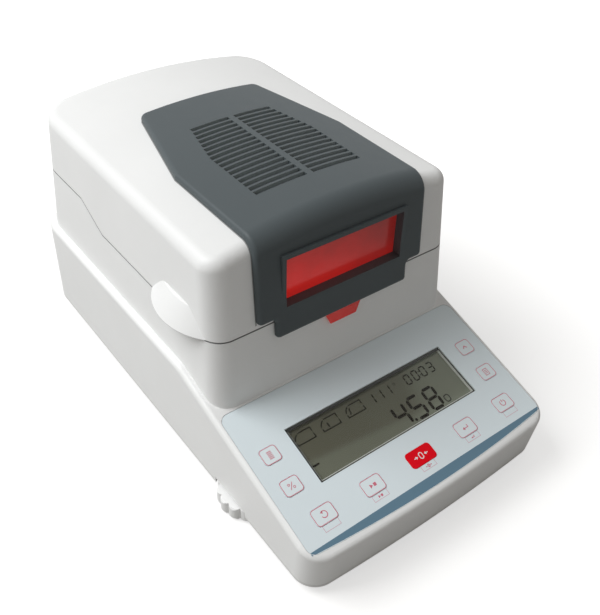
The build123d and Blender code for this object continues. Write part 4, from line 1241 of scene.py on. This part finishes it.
@dataclass
class Chamber:
    """Fine pieces in the weighing chamber and under the lid.

    Attributes:
        bubble: Radius of the spirit level's bubble in millimetres.
        ring: Radius of the circle printed over it.
        filament: Radius of the lamp's coiled wire.
        wire: Thickness of that wire.
        turns: How many turns it has.
        tube: Radius of the lamp's glass tube.
        opening: Degrees of the ring that the legs take up.
    """

    bubble: float = 2.0
    ring: float = 3.2
    filament: float = 1.0
    wire: float = 0.22
    turns: int = 90
    tube: float = 4.5
    opening: float = 40.0

    def build(self) -> None:
        """Builds the level's bubble and ring and the lamp's filament."""
        low, high = (Vector(corner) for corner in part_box("level_vial"))
        middle = Vector(((low.x + high.x) / 2, (low.y + high.y) / 2, high.z))
        form = bmesh.new()
        bmesh.ops.create_uvsphere(form, u_segments=24, v_segments=12, radius=self.bubble * MM)
        bmesh.ops.scale(form, vec=(1, 1, 0.22), verts=form.verts)
        bmesh.ops.translate(form, vec=middle, verts=form.verts)
        add_piece("level_bubble", form, "base", Finish.WHITE_INK, smooth=True)
        drawing = Drawing(Easel(middle, Vector((1, 0, 0)), Vector((0, 1, 0))), 0.0, 0.05)
        drawing.line(arc(0, 0, self.ring, 0, 350, 35), 0.35, True)
        drawing.piece("level_ring", "base", "black_plastic", Finish.SHADE_INK)
        self.lamp_filament()

    def lamp_filament(self) -> None:
        """Winds the filament round the middle of the ring lamp."""
        low, high = (Vector(corner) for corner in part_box("halogen_lamp"))
        tube = self.tube * MM
        radius = (high.x - low.x) / 2 - tube
        centre = Vector(((low.x + high.x) / 2, low.y + radius + tube, low.z + tube))
        steps = self.turns * 8
        path = []
        for step in range(steps + 1):
            share = step / steps
            around = math.radians(90 + self.opening / 2 + (360 - self.opening) * share)
            coil = math.tau * self.turns * share
            reach = radius + self.filament * MM * math.cos(coil)
            path.append(centre + Vector((reach * math.cos(around), reach * math.sin(around),
                                         self.filament * MM * math.sin(coil))))
        curve = bpy.data.curves.new("lamp_filament", "CURVE")
        curve.dimensions = "3D"
        curve.bevel_depth = self.wire * MM / 2
        curve.bevel_resolution = 1
        spline = curve.splines.new("POLY")
        spline.points.add(len(path) - 1)
        for point, place in zip(spline.points, path):
            point.co = (*place, 1.0)
        curve.materials.append(Finish.ZINC.material())
        wire = bpy.data.objects.new("lamp_filament", curve)
        bpy.context.collection.objects.link(wire)
        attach(wire, "lid")
        log.info("added lamp_filament, %d turns", self.turns)


@dataclass
class RearPanel:
    """Contacts of the connectors on the rear wall, and painted shade in the threaded holes of their posts.

    Attributes:
        lean: Lean of the rear wall in degrees.
        pin: Half the thickness of a contact in millimetres.
        pitch: Spacing of the contacts.
        row: Height of a row of contacts over the socket's middle.
        post: Distance of a screw post from the middle.
        hole: Radius of the hole in a post.
        depth: How far behind the shell's rim a contact starts.
        length: Length of a contact.
        rim: How far the shell's rim lies below the posts.
    """

    lean: float = 7.306
    pin: float = 0.5
    pitch: float = 2.3
    row: float = 1.2
    post: float = 12.5
    hole: float = 1.3
    depth: float = 4.6
    length: float = 3.4
    rim: float = 0.4

    def build(self) -> None:
        """Builds the socket's contacts and dark discs of painted shade in the threaded holes of its posts."""
        low, high = (Vector(corner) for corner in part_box("serial_port"))
        slope = math.radians(self.lean)
        up = Vector((0, -math.sin(slope), math.cos(slope)))
        middle = Vector(((low.x + high.x) / 2, high.y - self.rim * MM, (low.z + high.z) / 2))
        easel = Easel(middle, Vector((-1, 0, 0)), up)
        # painted shade: a dark disc in each threaded hole
        hole_shade = Drawing(easel, 0.1, 0.05)
        for side in (-1, 1):
            hole_shade.at(side * self.post, 0.0).disc(self.hole, 18)
        hole_shade.piece("port_hole_shade", "base", "black_plastic", Finish.SHADE_INK)
        contacts = Drawing(easel, -self.depth, self.length)
        for row, count in ((-self.row, 4), (self.row, 5)):
            for index in range(count):
                contacts.at((index - (count - 1) / 2) * self.pitch, row).disc(self.pin, 10)
        contacts.piece("port_contacts", "base", "brass", Finish.BRASS)


@dataclass
class ScrewHeads:
    """Painted shade in the cross recesses of the heads of the screws under the base.

    Attributes:
        reach: Half the length of an arm of the cross in millimetres.
        arm: Width of an arm.
    """

    reach: float = 1.9
    arm: float = 0.75

    def build(self) -> None:
        """Draws a dark cross of painted shade on each head, where its recess is."""
        groups: dict[tuple[int, int], list[Vector]] = {}
        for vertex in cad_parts["case_screws"].data.vertices:
            groups.setdefault((round(vertex.co.x / 0.02), round(vertex.co.y / 0.03)), []).append(vertex.co)
        low = min(spot.z for spots in groups.values() for spot in spots)
        easel = Easel(Vector((0, 0, low)), Vector((-1, 0, 0)), Vector((0, 1, 0)))
        # painted shade: a dark cross in each screw's recess
        cross_shade = Drawing(easel, 0.0, 0.04)
        for spots in groups.values():
            middle = sum(spots, Vector()) / len(spots)
            cross_shade.at(-middle.x / MM, middle.y / MM)
            for turn in (45, 135):
                along = (self.reach * math.cos(math.radians(turn)), self.reach * math.sin(math.radians(turn)))
                cross_shade.line([(-along[0], -along[1]), along], self.arm)
        cross_shade.piece("screw_cross_shade", "base", "black_plastic", Finish.SHADE_INK)


@dataclass
class Studio:
    """White floor, a soft lamp, light from all round and the camera.

    Attributes:
        floor: Half the floor's width in metres.
        sky: Strength of the even light from all round.
        drop: How far the floor lies below the feet, in metres.
        lift: Share of white that the floor adds to itself where the camera sees it near the instrument.
        near: Distance in metres from which that share grows.
        far: Distance in metres from which the floor shows plain white.
        place: The camera's place in metres.
        right: Direction to the right of the picture.
        up: Direction up the picture.
        back: Direction from the picture to the camera.
        focal: Focal length in pixels of the picture.
        wide: Width of the picture in pixels.
        centre: Offset of the optical centre, in pixels across and up.
    """

    floor: float = 4.0
    sky: float = 0.26
    drop: float = 0.0002
    lift: float = 0.60
    near: float = 0.16
    far: float = 0.50
    place: tuple[float, float, float] = (-0.2588, -0.3715, 0.4264)
    right: tuple[float, float, float] = (0.8011, -0.5982, 0.0210)
    up: tuple[float, float, float] = (0.3654, 0.5165, 0.7744)
    back: tuple[float, float, float] = (-0.4741, -0.6127, 0.6323)
    focal: float = 774.6
    wide: int = 600
    centre: Point = (0.45, -0.76)

    def build(self) -> None:
        """Sets up the whole studio."""
        self.lay_floor()
        self.light_world()
        self.hang_lamp("key_lamp", (-1.15, 0.70, 1.75), 1.3, 43.0)
        self.place_camera()
        view = bpy.context.scene.view_settings
        view.view_transform = "Standard"

    def lay_floor(self) -> None:
        """Lays the floor, which shows white where nothing shades it."""
        form = bmesh.new()
        bmesh.ops.create_grid(form, x_segments=1, y_segments=1, size=self.floor)
        bmesh.ops.translate(form, vec=(0, 0, -self.drop), verts=form.verts)
        mesh = bpy.data.meshes.new("floor")
        form.to_mesh(mesh)
        form.free()
        recipe = Recipe("floor_white")
        mottle = recipe.noise(0.15, 2.0)
        tint = recipe.mix(mottle * 0.3, (0.50, 0.495, 0.485), (0.48, 0.475, 0.465))
        path = recipe.node("ShaderNodeLightPath")
        seen = Reading(recipe, path.outputs["Is Camera Ray"])
        x, y, _ = recipe.axes()
        away = ((x ** 2.0 + y ** 2.0) ** 0.5).between(self.near, self.far)
        share = seen * (self.lift + away * (1 - self.lift))
        glow = recipe.mix(share, (0.0, 0.0, 0.0), (1.0, 1.0, 1.0))
        matte = recipe.surface({"Base Color": tint, "Roughness": 0.85 + mottle * 0.05,
                                "Specular IOR Level": 0.1,
                                "Emission Color": glow, "Emission Strength": 1.0})
        mesh.materials.append(recipe.finished(matte))
        floor = bpy.data.objects.new("floor", mesh)
        bpy.context.collection.objects.link(floor)

    def light_world(self) -> None:
        """Lights the scene evenly, and shows white to the camera, mirrors and glass."""
        world = bpy.data.worlds.new("white_room")
        bpy.context.scene.world = world
        world.use_nodes = True
        tree = world.node_tree
        tree.nodes.clear()
        path = tree.nodes.new("ShaderNodeLightPath")
        seen = path.outputs["Is Camera Ray"]
        for extra in ("Is Glossy Ray", "Is Transmission Ray"):
            either = tree.nodes.new("ShaderNodeMath")
            either.operation = "MAXIMUM"
            tree.links.new(seen, either.inputs[0])
            tree.links.new(path.outputs[extra], either.inputs[1])
            seen = either.outputs[0]
        strength = tree.nodes.new("ShaderNodeMapRange")
        strength.inputs["To Min"].default_value = self.sky
        strength.inputs["To Max"].default_value = 1.0
        tree.links.new(seen, strength.inputs["Value"])
        tint = tree.nodes.new("ShaderNodeMix")
        tint.data_type = "RGBA"
        tint.inputs[6].default_value = (1.0, 0.965, 0.915, 1.0)
        tint.inputs[7].default_value = (1.0, 1.0, 1.0, 1.0)
        tree.links.new(seen, tint.inputs[0])
        background = tree.nodes.new("ShaderNodeBackground")
        tree.links.new(tint.outputs[2], background.inputs["Color"])
        tree.links.new(strength.outputs[0], background.inputs["Strength"])
        output = tree.nodes.new("ShaderNodeOutputWorld")
        tree.links.new(background.outputs[0], output.inputs["Surface"])

    def hang_lamp(self, name: str, place: tuple[float, float, float], size: float, power: float) -> None:
        """Hangs a square soft lamp aimed at the instrument.

        Args:
            name: The lamp's name.
            place: Where it hangs, in metres.
            size: Its width in metres.
            power: Its power in watts.
        """
        lamp = bpy.data.lights.new(name, "AREA")
        lamp.shape = "SQUARE"
        lamp.size = size
        lamp.color = (0.975, 0.99, 1.0)
        lamp.energy = power
        hung = bpy.data.objects.new(name, lamp)
        hung.location = place
        hung.rotation_euler = (Vector((0, 0, 0.1)) - Vector(place)).to_track_quat("-Z", "Y").to_euler()
        bpy.context.collection.objects.link(hung)

    def place_camera(self) -> None:
        """Places the camera that took the picture."""
        camera = bpy.data.cameras.new("camera")
        camera.sensor_fit = "HORIZONTAL"
        camera.sensor_width = 36.0
        camera.lens = self.focal / self.wide * camera.sensor_width
        camera.shift_x = -self.centre[0] / self.wide
        camera.shift_y = -self.centre[1] / self.wide
        camera.clip_start = 0.01
        stand = bpy.data.objects.new("camera", camera)
        turn = Matrix((self.right, self.up, self.back)).transposed().to_quaternion()
        stand.matrix_world = Matrix.LocRotScale(Vector(self.place), turn, None)
        bpy.context.collection.objects.link(stand)
        bpy.context.scene.camera = stand


def main() -> None:
    """Dresses the frame and builds each group of pieces in order."""
    logging.basicConfig(level=logging.INFO, format="%(name)s: %(message)s")
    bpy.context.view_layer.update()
    for finish, nodes in NODE_FINISHES.items():
        for node in nodes:
            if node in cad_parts:
                dress(node, finish)
    keypad = Keypad()
    for group in (keypad, Display(keypad), Chamber(), RearPanel(), ScrewHeads(), Studio()):
        group.build()
        log.info("built %s", type(group).__name__)


if __name__ == "__main__":
    main()
